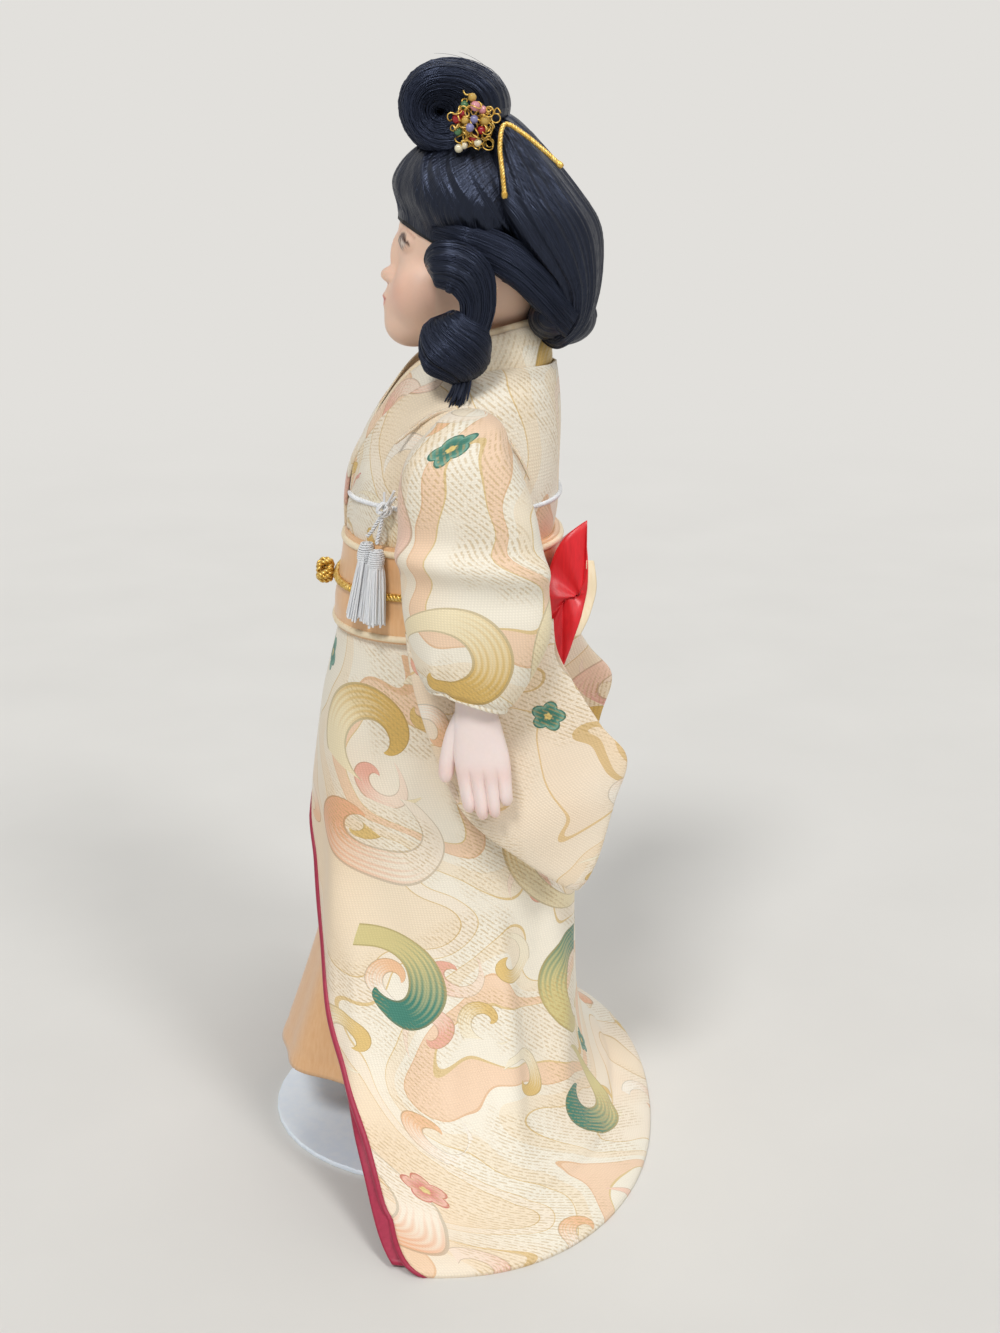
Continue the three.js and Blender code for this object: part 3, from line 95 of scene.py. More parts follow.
# %% Colour and nodes
def linear(hex_code):
    """An sRGB hex colour as the linear values that shaders use."""
    channels = [int(hex_code[i : i + 2], 16) / 255 for i in (1, 3, 5)]
    return tuple(c / 12.92 if c <= 0.04045 else ((c + 0.055) / 1.055) ** 2.4 for c in channels) + (1.0,)


def add_node(tree, kind, links=None, **settings):
    """Adds a node with its settings and its values or links, and gives its first output."""
    made = tree.nodes.new(kind)
    for name, value in settings.items():
        setattr(made, name, value)
    for name, value in (links or {}).items():
        if isinstance(value, bpy.types.NodeSocket):
            tree.links.new(value, made.inputs[name])
        else:
            made.inputs[name].default_value = value
    return made.outputs[0]


print("colour helpers ready")


# %% Node shorthands
def maths(tree, operation, *values):
    """A number worked out from numbers or links."""
    return add_node(tree, "ShaderNodeMath", dict(enumerate(values)), operation=operation)


def vectors(tree, operation, *values):
    """A vector worked out from vectors or links; a length comes out as a number."""
    made = add_node(tree, "ShaderNodeVectorMath", dict(enumerate(values)), operation=operation).node
    return made.outputs["Value" if operation == "LENGTH" else "Vector"]


def coordinates(tree, kind="Object"):
    """Where a point lies: on its object, or along its cloth for UV."""
    return add_node(tree, "ShaderNodeTexCoord").node.outputs[kind]


def noise(tree, place, scale, detail):
    """A cloudy value, with so many clouds to a unit of the place."""
    return add_node(tree, "ShaderNodeTexNoise", {"Vector": place, "Scale": scale, "Detail": detail})


def remap(tree, value, low=0.0, high=1.0, to_low=0.0, to_high=1.0):
    """A value stretched from one range to another and kept within it."""
    return add_node(tree, "ShaderNodeMapRange", {"Value": value, 1: low, 2: high, 3: to_low, 4: to_high})


def blend(tree, factor, first, second, kind="MIX"):
    """Two colours mixed by a factor."""
    return add_node(tree, "ShaderNodeMixRGB", {
        "Fac": factor, "Color1": first, "Color2": second,
    }, blend_type=kind)


def ramp(tree, factor, *stops):
    """A colour from a ramp of stops, each a position and a hex colour."""
    made = add_node(tree, "ShaderNodeValToRGB", {"Fac": factor})
    elements = made.node.color_ramp.elements
    elements.remove(elements[0])
    for number, (position, colour) in enumerate(stops):
        stop = elements[0] if number == 0 else elements.new(position)
        stop.position = position
        stop.color = linear(colour)
    return made


print("node helpers ready")


# %% Materials
def start_material(name, sockets):
    """A new material with the constant values of its main shader, its node tree and that shader."""
    material = bpy.data.materials.new(name)
    material.use_nodes = True
    shader = material.node_tree.nodes["Principled BSDF"]
    for socket, value in sockets.items():
        shader.inputs[socket].default_value = value
    return material, material.node_tree, shader


def dress(tree, shader, colour, height=None, strength=0.0, depth=0.0002):
    """Gives a shader its colour and, where there is a height, a fine relief whose depth is in metres."""
    tree.links.new(colour, shader.inputs["Base Color"])
    if height:
        relief = add_node(tree, "ShaderNodeBump", {"Height": height, "Strength": strength, "Distance": depth})
        tree.links.new(relief, shader.inputs["Normal"])


def speckled(name, sockets, stops, scale, strength, stretch=(1.0, 1.0, 1.0), grit=0.5):
    """A material whose colour and relief follow one fine noise, which may be stretched."""
    made, tree, shader = start_material(name, sockets)
    place = add_node(tree, "ShaderNodeMapping", {"Vector": coordinates(tree), "Scale": stretch})
    fleck = noise(tree, place, scale, 3.0)
    fleck.node.inputs["Roughness"].default_value = grit
    dress(tree, shader, ramp(tree, fleck, *stops), fleck, strength)
    return made


print("material helpers ready")

# %% Sky and lamps
BACKGROUND = "#E2E0DC"
world = bpy.data.worlds.new("sky")
bpy.context.scene.world = world
world.use_nodes = True
sky = world.node_tree
rays = add_node(sky, "ShaderNodeLightPath").node
seen = rays.outputs["Is Camera Ray"]
for kind in ("Is Glossy Ray", "Is Transmission Ray"):
    seen = maths(sky, "MAXIMUM", seen, rays.outputs[kind])
light = add_node(sky, "ShaderNodeBackground", {"Color": linear("#F2F3F5"), "Strength": 0.32})
shown = add_node(sky, "ShaderNodeBackground", {"Color": linear(BACKGROUND), "Strength": 1.0})
mixed = add_node(sky, "ShaderNodeMixShader", {0: seen, 1: light, 2: shown})
sky.links.new(mixed, sky.nodes["World Output"].inputs["Surface"])

LAMPS = [  # name, the way it shines, strength, softness in degrees
    ("key_lamp", (-0.62, 0.22, -0.78), 1.4, 14),
    ("fill_lamp", (-0.60, -0.50, -0.70), 0.74, 14),
    ("top_lamp", (-0.20, -0.25, -0.95), 0.38, 14),
    ("back_lamp", (0.8, -0.2, -0.6), 0.5, 50),
]
for lamp_name, towards, strength, softness in LAMPS:
    lamp_data = bpy.data.lights.new(lamp_name, "SUN")
    lamp_data.energy = strength
    lamp_data.angle = math.radians(softness)
    lamp = bpy.data.objects.new(lamp_name, lamp_data)
    lamp.rotation_euler = Vector(towards).to_track_quat("-Z", "Y").to_euler()
    bpy.context.scene.collection.objects.link(lamp)
print("lamps:", len(LAMPS))

# %% Floor
# Far from the doll the floor turns into the background's colour, so that no edge shows
FLOOR_RADIUS, FADE_FROM, FADE_TO = 9, 0.6, 1.8
paint, tree, shader = start_material("matt_floor_paint", {"Roughness": 0.9})
place = coordinates(tree)
dress(tree, shader, ramp(tree, noise(tree, place, 9.0, 4.0), (0.3, "#DAD8D3"), (0.7, "#DEDCD7")))
away = remap(tree, vectors(tree, "LENGTH", place), FADE_FROM, FADE_TO)
away.node.interpolation_type = "SMOOTHSTEP"
glow = add_node(tree, "ShaderNodeEmission", {"Color": linear(BACKGROUND), "Strength": 1.0})
tree.links.new(add_node(tree, "ShaderNodeMixShader", {0: away, 1: shader.outputs[0], 2: glow}),
               tree.nodes["Material Output"].inputs["Surface"])
floor_mesh = bmesh.new()
bmesh.ops.create_circle(floor_mesh, cap_ends=True, segments=96, radius=FLOOR_RADIUS)
floor_data = bpy.data.meshes.new("floor")
floor_mesh.to_mesh(floor_data)
floor_mesh.free()
floor = bpy.data.objects.new("floor", floor_data)
floor_data.materials.append(paint)
bpy.context.scene.collection.objects.link(floor)
print("floor", FLOOR_RADIUS, "m round")

# %% [markdown]
# ## How cloth and threads are made here
# Cloth starts as a flat grid, as it leaves the loom. Every point of the grid is then moved to its place on
# the body, and the grid's texture coordinates keep the lengths along the cloth in metres, so a woven pattern
# neither stretches nor shrinks. A surface is an array of points: rows down the cloth, columns across it, in
# millimetres. A bundle of threads is a curve object with many splines, thickened by its bevel and made a
# mesh.


# %% Shapes of numbers
def bent(value, exponent):
    """A signed power, which makes an oval squarer or rounder."""
    return np.sign(value) * np.abs(value) ** exponent


def ease(value, low, high):
    """0 below low, 1 above high, and smooth between."""
    t = np.clip((value - low) / (high - low), 0, 1)
    return t * t * (3 - 2 * t)


def near(distance, far, close):
    """1 where a distance is below close, 0 where it is above far, and smooth between."""
    return ease(-distance, -far, -close)


def hill(value, middle, width):
    """A soft hill, 1 high at its middle."""
    return np.exp(-(((value - middle) / width) ** 2))


def wobble(across, down, seed):
    """A soft, uneven wave between about -1 and 1."""
    random = np.random.default_rng(seed)
    total = 0
    for _ in range(5):
        a, b = random.normal(0, 1, 2)
        total = total + np.sin(a * across + b * down + random.uniform(0, 6.3))
    return total / 3


def xyz(x, y, z):
    """Points from their three coordinates, each a number or an array."""
    return np.stack(np.broadcast_arrays(x, y, z), axis=-1)


def unit(arrows):
    """Arrows made 1 long."""
    return arrows / np.maximum(np.linalg.norm(arrows, axis=-1, keepdims=True), 1e-9)


print("number helpers ready")


# %% Surfaces and lines
def level(rows, height):
    """A smooth row of sizes at a height, from rows that each start with their own height."""
    rows = np.array(rows, float)
    last = len(rows) - 1
    k = int(np.clip(np.searchsorted(rows[:, 0], height), 1, last))
    a, b = rows[k - 1], rows[k]
    before, after = rows[max(k - 2, 0)], rows[min(k + 1, last)]
    span = b[0] - a[0]
    t = float(np.clip((height - a[0]) / span, 0, 1))
    start = (b - before) / (b[0] - before[0])
    end = (after - a) / (after[0] - a[0])
    ends = a * (1 + 2 * t) * (1 - t) ** 2 + b * t * t * (3 - 2 * t)
    return (ends + span * (start * t * (1 - t) ** 2 - end * t * t * (1 - t)))[1:]


def through(rings, rows):
    """A smooth surface of rows + 1 rows through a few rings of points."""
    rings = np.array(rings, float)
    last = len(rings) - 1
    at = np.linspace(0, last, rows + 1)
    k = np.minimum(at.astype(int), last - 1)
    t = (at - k).reshape((-1,) + (1,) * (rings.ndim - 1))
    before, a, b, after = rings[np.maximum(k - 1, 0)], rings[k], rings[k + 1], rings[np.minimum(k + 2, last)]
    curve = 2 * a + (b - before) * t + (2 * before - 5 * a + 4 * b - after) * t**2
    return (curve + (3 * a - before - 3 * b + after) * t**3) / 2


def lengths_along(path):
    """How far along a path each of its points lies."""
    return np.concatenate([[0], np.cumsum(np.linalg.norm(np.diff(path, axis=0), axis=1))])


def along_path(points, count):
    """Evenly spaced points on a smooth curve through a few points."""
    fine = through(points, 40 * len(points))
    length = lengths_along(fine)
    at = np.linspace(0, length[-1], count)
    return np.stack([np.interp(at, length, fine[:, k]) for k in range(3)], axis=1)


def outward(surface, looped):
    """The unit direction that each point of a surface faces."""
    down = np.gradient(surface, axis=0)
    across = np.gradient(surface, axis=1)
    if looped:
        across[:, 0] = across[:, -1] = surface[:, 1] - surface[:, -2]
    return unit(np.cross(across, down))


def swell(surface, amount, looped=False):
    """Moves each point of a surface along the direction that it faces."""
    return surface + outward(surface, looped) * amount[..., None]


print("surface helpers ready")


# %% Laid cords
def twisted(path, strands, offset, pitch, closed=False):
    """The paths of several strands that wind round one path, as in a laid cord."""
    path = np.array(path, float)
    along = np.gradient(path, axis=0)
    if closed:
        along = np.roll(path, -1, axis=0) - np.roll(path, 1, axis=0)
    along = unit(along)
    side = unit(np.cross(along, [0.13, 0.21, 0.97]))
    other = np.cross(along, side)
    length = lengths_along(path)
    if closed:
        whole = length[-1] + np.linalg.norm(path[0] - path[-1])
        pitch = whole / round(whole / pitch)
    made = []
    for k in range(strands):
        turn = (2 * np.pi * (length / pitch + k / strands))[:, None]
        made.append(path + offset * (np.cos(turn) * side + np.sin(turn) * other))
    return made


print("cord helper ready")


def piece(name, mesh, finish, body, stands_for=None):
    """Makes an object of a mesh or bmesh, with its finish, on the body that carries it.

    A piece with the name of a solid stands for that solid.
    """
    if isinstance(mesh, bmesh.types.BMesh):
        data = bpy.data.meshes.new(name)
        mesh.to_mesh(data)
        mesh.free()
        mesh = data
    if name in nodes:
        stands_for = name
        name = f"{name}_piece"
    mesh.name = name
    mesh.materials.clear()
    mesh.materials.append(finish)
    mesh.shade_smooth()
    made = bpy.data.objects.new(name, mesh)
    bpy.context.scene.collection.objects.link(made)
    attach(made, body)
    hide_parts(*([stands_for] if stands_for else []))
    return made


# %% Cloth
def grid_mesh(surface, looped=False, cut=(0, 0)):
    """A grid whose points lie on a surface, with texture coordinates in metres from where it is cut."""
    surface = np.array(surface, float) * MM
    rows, columns = surface.shape[0] - 1, surface.shape[1] - 1
    across = np.concatenate([
        np.zeros((rows + 1, 1)), np.cumsum(np.linalg.norm(np.diff(surface, axis=1), axis=2), axis=1),
    ], axis=1)
    across -= across[:, columns // 2 : columns // 2 + 1]
    steps = np.linalg.norm(np.diff(surface, axis=0), axis=2).mean(axis=1)
    down = np.concatenate([[0], np.cumsum(steps)])
    mesh = bmesh.new()
    uv = mesh.loops.layers.uv.new("UVMap")
    bmesh.ops.create_grid(mesh, x_segments=columns, y_segments=rows, size=0.5)
    place = {v: (round((v.co.y + 0.5) * rows), round((v.co.x + 0.5) * columns)) for v in mesh.verts}
    for face in mesh.faces:
        for corner in face.loops:
            row, column = place[corner.vert]
            corner[uv].uv = (cut[0] + across[row, column], cut[1] - down[row])
    for vert, (row, column) in place.items():
        vert.co = surface[row, column]
    if looped:
        bmesh.ops.remove_doubles(mesh, verts=mesh.verts, dist=1e-6)
    return mesh


def cloth(name, surface, finish, body, looped=False, thick=0.0, turned=False, cut=(0, 0)):
    """A piece of cloth on a surface, with a thickness in millimetres that goes inwards."""
    mesh = grid_mesh(surface, looped, cut)
    if turned:
        bmesh.ops.reverse_faces(mesh, faces=mesh.faces)
    area = sum(face.calc_area() for face in mesh.faces)
    made = piece(name, mesh, finish, body)
    if thick:
        wall = made.modifiers.new("thickness", "SOLIDIFY")
        wall.thickness = thick * MM
        wall.offset = -1
    print(name, "cloth of", round(area * 1e4), "square centimetres")
    return made


print("cloth helpers ready")


# %% Threads
def threads(name, paths, radius, finish, body, closed=False, sides=1, ends=1.0):
    """A bundle of round threads along paths in millimetres, which taper to the share ends at each tip."""
    line = bpy.data.curves.new(name, "CURVE")
    line.dimensions = "3D"
    line.bevel_depth = radius * MM
    line.bevel_resolution = sides
    line.use_fill_caps = True
    for path in paths:
        spline = line.splines.new("POLY")
        spline.points.add(len(path) - 1)
        spline.points.foreach_set("co", np.c_[np.array(path) * MM, np.ones(len(path))].ravel())
        share = np.ones(len(path))
        if ends < 1 and not closed:
            share = ends + (1 - ends) * np.sqrt(np.sin(np.linspace(0.02, 0.98, len(path)) * np.pi))
        spline.points.foreach_set("radius", share)
        spline.use_cyclic_u = closed
    holder = bpy.data.objects.new(name, line)
    mesh = bpy.data.meshes.new_from_object(holder)
    bpy.data.objects.remove(holder)
    bpy.data.curves.remove(line)
    print(name, len(paths), "threads")
    return piece(name, mesh, finish, body)


print("thread helper ready")

# %% [markdown]
# ## Gold braid and the hair ornament's cord
# The cord on the wig is a stiff gold lace, doubled and tucked behind the flowers so that its two ends stand
# out over the hair. It is one cord of about 50 mm. Three strands laid round each other show the metal
# thread's glitter better than a plain tube would, and each end is bound into a small knot.

# %% Gold thread finish
# Metal-wrapped thread: bright and yellow, with a fine lay that breaks the gloss
gold_braid = speckled("gold_wrapped_thread", {"Metallic": 0.75, "Roughness": 0.36}, [
    (0.3, "#B88B34"), (0.5, "#DDB65C"), (0.7, "#F0D68C"),
], 900.0, 0.4)
print("made", gold_braid.name)

# %% Ornament cord
CORD_ROUTE = [
    (31.6, 27.6, 356.0), (31.0, 26.8, 364.2), (28.0, 26.0, 373.0), (24.6, 27.6, 379.4),
    (26.4, 33.6, 376.6), (29.0, 40.6, 371.2), (30.2, 46.6, 366.0),
]
cord_line = along_path(CORD_ROUTE, 90)
ornament_cord = threads("ornament_cord", twisted(cord_line, 3, 0.42, 3.2), 0.5, gold_braid, "head")
for number, (tip, inward) in enumerate(((cord_line[0], cord_line[4]), (cord_line[-1], cord_line[-5]))):
    bound = [tip + (inward - tip) * t for t in np.linspace(0, 0.9, 4)]
    threads(f"ornament_cord_end_{number + 1}", [bound], 1.15, gold_braid, "head",
                             sides=3, ends=0.7)

# %% [markdown]
# ## Woven cloth finishes
# The kimono is an ivory rayon brocade. Gold-coloured thread floats over the ground in hatched fields, and
# large scrolls, leaves and rounds in peach, rose, green and ochre are printed and outlined on it. The pattern
# could be an image, but nodes keep it sharp and free of copies: a noise gives the flowing fields, and Voronoi
# cells scatter the scrolls, each turned its own way. Every size is in metres along the cloth, from the
# piece's texture coordinates.

# %% Brocade ground
# Rayon brocade: a soft satin ground with metal-wrapped floats that catch the light
IVORY, GOLD, ROSE = "#F7EFDD", "#E3C893", "#E3A39B"
GREEN, OCHRE, OUTLINE = "#3B7F6D", "#DDB766", "#DDC08A"
brocade, tree, shader = start_material("rayon_brocade", {"Roughness": 0.6, "Sheen Weight": 0.15})
place = coordinates(tree, "UV")
drift = noise(tree, place, 17.0, 1.0).node.outputs["Color"]
drift = vectors(tree, "SUBTRACT", drift, (0.5, 0.5, 0.5))
flowing = vectors(tree, "MULTIPLY_ADD", drift, (0.06, 0.06, 0), place)
swayed = vectors(tree, "MULTIPLY_ADD", drift, (0.02, 0.02, 0), place)
ground = ramp(
    tree, noise(tree, flowing, 15.0, 0.5),
    (0.0, "#F6E4C8"), (0.36, OUTLINE), (0.364, "#F8EBD6"), (0.415, GOLD), (0.418, IVORY), (0.505, GOLD),
    (0.508, "#F6E8CF"), (0.56, IVORY), (0.60, "#E9C29C"), (0.604, "#F5D5B6"), (0.65, GOLD), (0.654, IVORY),
)
ground.node.color_ramp.interpolation = "CONSTANT"
blushed = remap(tree, noise(tree, place, 11.0, 1.5), 0.50, 0.72, to_high=0.42)
colour = blend(tree, blushed, ground, linear("#F2C796"))

# Hatched gold floats in dashes 1.1 mm apart, drawn coarser than real ones so that they show
hatch = add_node(tree, "ShaderNodeTexWave", {
    "Vector": place, "Scale": 285.0, "Distortion": 0.6, "Detail": 1.0,
}, bands_direction="DIAGONAL")
hatch = remap(tree, hatch, 0.4, 0.85)
dashes = remap(tree, noise(tree, place, 700.0, 1.0), 0.38, 0.55)
patches = remap(tree, noise(tree, flowing, 24.0, 2.0), 0.45, 0.54)
floats = maths(tree, "MULTIPLY", maths(tree, "MULTIPLY", hatch, patches), dashes)
print("ground and floats have", len(tree.nodes), "nodes")


# %% Brocade leaves
def scattered(tree, place, cell, looseness):
    """Irregular cells of a size in millimetres: how far out and how far round, and each one's chances."""
    scaled = add_node(tree, "ShaderNodeVectorMath", {0: place, "Scale": 1000 / cell}, operation="SCALE")
    found = add_node(tree, "ShaderNodeTexVoronoi", {
        "Vector": scaled, "Scale": 1.0, "Randomness": looseness,
    }, voronoi_dimensions="2D").node
    chances = add_node(tree, "ShaderNodeSeparateColor", {"Color": found.outputs["Color"]}).node.outputs
    local = vectors(tree, "SUBTRACT", scaled, found.outputs["Position"])
    turn = maths(tree, "MULTIPLY", chances[0], 2 * math.pi)
    local = add_node(tree, "ShaderNodeVectorRotate", {"Vector": local, "Angle": turn}, rotation_type="Z_AXIS")
    around = add_node(tree, "ShaderNodeTexGradient", {"Vector": local}, gradient_type="RADIAL")
    return vectors(tree, "LENGTH", local), around, chances


def within(tree, reach, limit, kept):
    """1 where the reach is below a limit, in the cells that are kept, otherwise 0."""
    return maths(tree, "MULTIPLY", maths(tree, "LESS_THAN", reach, limit), kept)


# Curled leaves: a spine that winds outwards round each cell, swelling in the middle and outlined
LEAVES = [  # cell in millimetres, looseness, share of the cells, the two colours of each kind of leaf
    (27, 0.85, 0.45, [("#F2C49A", "#FAF1E2"), ("#EDB29C", "#F8E3CE"), ("#E3C27C", "#F7ECD2")]),
    (58, 0.75, 0.62, [(GREEN, "#D9CB8E"), (ROSE, "#F6D3BC"), (OCHRE, "#F5E6C0"), ("#EFB58C", "#F9ECD8")]),
]
for cell, looseness, share, fills in LEAVES:
    radius, around, chances = scattered(tree, swayed, cell, looseness)
    spine = remap(tree, around, to_low=0.08, to_high=0.43)
    away = maths(tree, "ABSOLUTE", maths(tree, "SUBTRACT", radius, spine))
    width = maths(tree, "SINE", maths(tree, "MULTIPLY", around, math.pi))
    reach = maths(tree, "DIVIDE", away, maths(tree, "MULTIPLY_ADD", width, 0.10, 0.004))
    veins = maths(tree, "SINE", maths(tree, "MULTIPLY", reach, 19.0))
    along = maths(tree, "MULTIPLY_ADD", veins, 0.06, around)
    leaf = None
    for number, (first, second) in enumerate(fills):
        tint = ramp(tree, along, (0.38, first), (0.66, second))
        chosen = maths(tree, "GREATER_THAN", chances[2], number / len(fills))
        leaf = blend(tree, chosen, leaf, tint) if leaf else tint
    kept = maths(tree, "LESS_THAN", chances[1], share)
    edge = blend(tree, 0.4, leaf, linear("#8E7440"))
    colour = blend(tree, within(tree, reach, 1.12, kept), colour, edge)
    colour = blend(tree, within(tree, reach, 0.97, kept), colour, leaf)
print("leaves in", len(LEAVES), "sizes")

# %% Brocade blossoms and weave
# Blossoms of 12 mm with five round petals, most green and some coral
radius, around, chances = scattered(tree, place, 61, 0.9)
petal = maths(tree, "SINE", maths(tree, "MULTIPLY", around, 5 * math.pi))
petal = maths(tree, "MULTIPLY_ADD", maths(tree, "ABSOLUTE", petal), 0.03, 0.072)
reach = maths(tree, "DIVIDE", radius, petal)
kept = maths(tree, "LESS_THAN", chances[1], 0.34)
green = ramp(tree, reach, (0.2, "#E3C878"), (0.26, "#2F6F5E"), (0.6, GREEN), (0.86, "#78AA97"),
             (0.93, "#35705F"))
coral = ramp(tree, reach, (0.2, "#EAD391"), (0.26, "#D98478"), (0.86, "#F2C1AE"), (0.93, "#CF7C6C"))
petals = blend(tree, maths(tree, "GREATER_THAN", chances[2], 0.6), green, coral)
colour = blend(tree, within(tree, reach, 1.0, kept), colour, petals)
colour = blend(tree, maths(tree, "MULTIPLY", floats, 0.5), colour, linear("#BF9C57"))

# The weave of both thread directions, 0.9 mm apart, drawn coarser than real so that it shows
weft = add_node(tree, "ShaderNodeTexWave", {"Vector": place, "Scale": 350.0}, bands_direction="Y")
warp = add_node(tree, "ShaderNodeTexWave", {"Vector": place, "Scale": 290.0}, bands_direction="X")
weave = maths(tree, "MULTIPLY", weft, warp)
colour = blend(tree, 1.0, colour, remap(tree, weave, to_low=0.93, to_high=1.03), "MULTIPLY")
dress(tree, shader, colour, maths(tree, "MULTIPLY_ADD", floats, 1.2, weave), 0.3, 0.0003)
tree.links.new(remap(tree, floats, to_low=0.62, to_high=0.36), shader.inputs["Roughness"])
print("brocade has", len(tree.nodes), "nodes")

# %% Plain cloths
# Satins float their threads on one side, so they shine in long soft folds; cotton muslin is dull
plain = {}
for name, dark, pale, rough, sheen in [
    ("peach_satin", "#E6B27E", "#EDBF8E", 0.36, 0.2),
    ("crimson_lining_satin", "#98173A", "#A82244", 0.5, 0.1),
    ("red_satin", "#CC0F1D", "#E01A26", 0.36, 0.1),
    ("cream_piping_satin", "#F3DDB6", "#F8E8CA", 0.5, 0.1),
    ("cotton_muslin", "#E4D5BE", "#EDE1CF", 0.9, 0.1),
    ("white_rayon_thread", "#E3E6EA", "#F6F7F8", 0.42, 0.2),
]:
    plain[name] = speckled(name, {"Roughness": rough, "Sheen Weight": sheen}, [(0.3, dark), (0.7, pale)],
                           1.0, 0.2, stretch=(900.0, 900.0, 60.0), grit=0.6)
peach, crimson, red = plain["peach_satin"], plain["crimson_lining_satin"], plain["red_satin"]
cream, white = plain["cream_piping_satin"], plain["white_rayon_thread"]
print("plain cloths:", ", ".join(plain))

# %% [markdown]
# ## The kimono skirt, its lining and the under robe
# The skirt wraps the body, opens in front and spreads into a train with a padded, rolled hem. The crimson
# lining shows as a narrow line at the front edge. A peach satin robe comes out below it at the feet.
# Each is a grid whose rows are ovals: flat in front, round behind, wider towards the floor. Folds are waves
# that are added along the cloth's own facing, so they stay smooth. A few set folds, each with its own place,
# drift and depth, run down where the skirt spreads.

# %% The body's ovals
BODY = [(160, -18, 36, 30), (185, -24, 36, 33), (215, -24, 36, 31), (262, -13, 41, 34), (279, 3, 39, 30)]
ROUNDNESS = 2.3


def oval(sizes, turns, grow=0.0):
    """Points of an oval; a turn of 0 faces forwards and a quarter turn faces the doll's left."""
    front, back, half, middle, front_square, back_square = sizes
    ahead = np.cos(turns) > 0
    power = 2 / np.where(ahead, front_square, back_square)
    depth = np.where(ahead, middle - front, back - middle)
    return (half + grow) * bent(np.sin(turns), power), middle - (depth + grow) * bent(np.cos(turns), power)


def oval_ring(sizes, height, turns, push=0.0):
    """The points of an oval at a height, each pushed outwards by its own amount."""
    x, y = oval(sizes, turns)
    grown_x, grown_y = oval(sizes, turns, 1)
    return xyz(x + (grown_x - x) * push, y + (grown_y - y) * push, height)


def round_sizes(front, back, half):
    """The sizes of an even oval."""
    return front, back, half, (front + back) / 2, ROUNDNESS, ROUNDNESS


def body_sizes(height, grow):
    """The oval of the stuffed body at a height, grown by a layer of clothes."""
    front, back, half = level(BODY, height)
    return round_sizes(front - grow, back + grow, half + grow)


def body_ring(height, grow, turns, push=0.0):
    """Points round the body at a height."""
    return oval_ring(body_sizes(height, grow), height, turns, push)


print("body rows", len(BODY))

# %% Skirt form
CLOTH_OUT, WAIST = 6.1, 204
TRAIN = (4, 3.2, 2.2)  # the oval's middle, and how square it is in front and behind
SKIRT = [
    (0, -44.5, 86, 122, *TRAIN), (22, -44.5, 60, 88, *TRAIN), (50, -44.5, 54, 62, *TRAIN),
    (110, -44.5, 52, 41.5, *TRAIN), (172, -38, 47, 40, *TRAIN),
    (WAIST, *body_sizes(WAIST, CLOTH_OUT)), (212, *body_sizes(212, CLOTH_OUT)),
]
CORNER_TURN, CORNER_HEIGHT = 0.22, 9
OPEN_TO, CROSS_FROM, CROSS_TO = 150, 112, 165
HANGING_FOLDS = 7
SET_FOLDS = [  # the turn of each at the floor, how far it drifts up to the waist, width and depth
    (1.12, 0.10, 0.11, 2.4), (1.62, -0.12, 0.10, 3.0), (2.12, -0.30, 0.10, 3.6), (2.62, -0.25, 0.11, 2.8),
    (3.55, 0.15, 0.12, 2.6), (4.15, 0.28, 0.10, 3.4), (4.72, 0.10, 0.11, 2.8), (5.2, -0.1, 0.11, 2.2),
]


def skirt_surface(heights, insets, columns, show, loose):
    """The open skirt: rows at heights, moved inwards by insets, with edges that show more by a width."""
    rows = []
    share = np.linspace(0, 1, columns + 1)
    for height, inset in zip(heights, insets):
        sizes = level(SKIRT, height)
        gap = max(0.985 * (1 - min(height / OPEN_TO, 1) ** 2.2) * sizes[2], 2.5) - show
        edge = math.asin((max(gap, 0.3) / sizes[2]) ** (sizes[4] / 2))
        edge += CORNER_TURN * math.exp(-height / CORNER_HEIGHT)
        crossed = float(ease(height, CROSS_FROM, CROSS_TO))
        first, last = edge - 0.75 * crossed, 2 * math.pi - edge + 0.35 * crossed
        turns = first + (last - first) * share
        t = min(height / WAIST, 1)
        hang = 4 * t * (1 - t) ** 2
        fold = 2.5 * (1 + np.cos(HANGING_FOLDS * turns)) + loose * wobble(5.2 * turns, height * 0.025, 4)
        fold = hang * (fold + 0.5 * loose * wobble(13 * turns, height * 0.06, 9))
        spread = float(ease(height, 6, 45) * (1 - ease(height, 66, 112)))
        for turn, drift, width, depth in SET_FOLDS:
            fold = fold + spread * depth * hill(turns, turn + drift * t, width)
        over = 1.5 * (1 - ease(turns, 0.5, 1.3)) - 1.2 * ease(turns, 5.0, 5.8)
        rows.append(oval_ring(sizes, height, turns, fold - inset + over * crossed))
    return np.array(rows)


print("set folds:", len(SET_FOLDS))

# %% Skirt and lining
HEM, HEM_PUFF, HEM_SEAM = 3.2, 2.4, 10.5
upper = np.concatenate([np.linspace(212, 40, 90), np.linspace(38.5, HEM, 40)])
roll = np.linspace(0.12, math.pi, 11)
heights = np.concatenate([upper, 0.2 + (HEM - 0.2) * (1 - np.sin(roll))])
puff = HEM_PUFF * hill(upper, HEM, 3.6) - 1.7 * hill(upper, HEM_SEAM, 2.2)
under_roll = 1.75 * math.exp(-HEM / 6) - HEM_PUFF + HEM * (1 - np.cos(roll))
insets = np.concatenate([1.75 * np.exp(-upper / 6) - puff, under_roll])
skirt = skirt_surface(heights, insets, 260, 0, 3.0)
kimono_skirt = cloth("kimono_skirt", skirt, brocade, "doll", thick=0.9, cut=(0.63, 0.28))
inner = np.concatenate([np.linspace(188, 30, 60), np.linspace(28, 1.6, 24)])
lining = skirt_surface(inner, 1.7 + np.exp(-inner / 6), 200, 3.0, 2.4)
kimono_lining = cloth("kimono_lining", lining, crimson, "doll", thick=0.7)

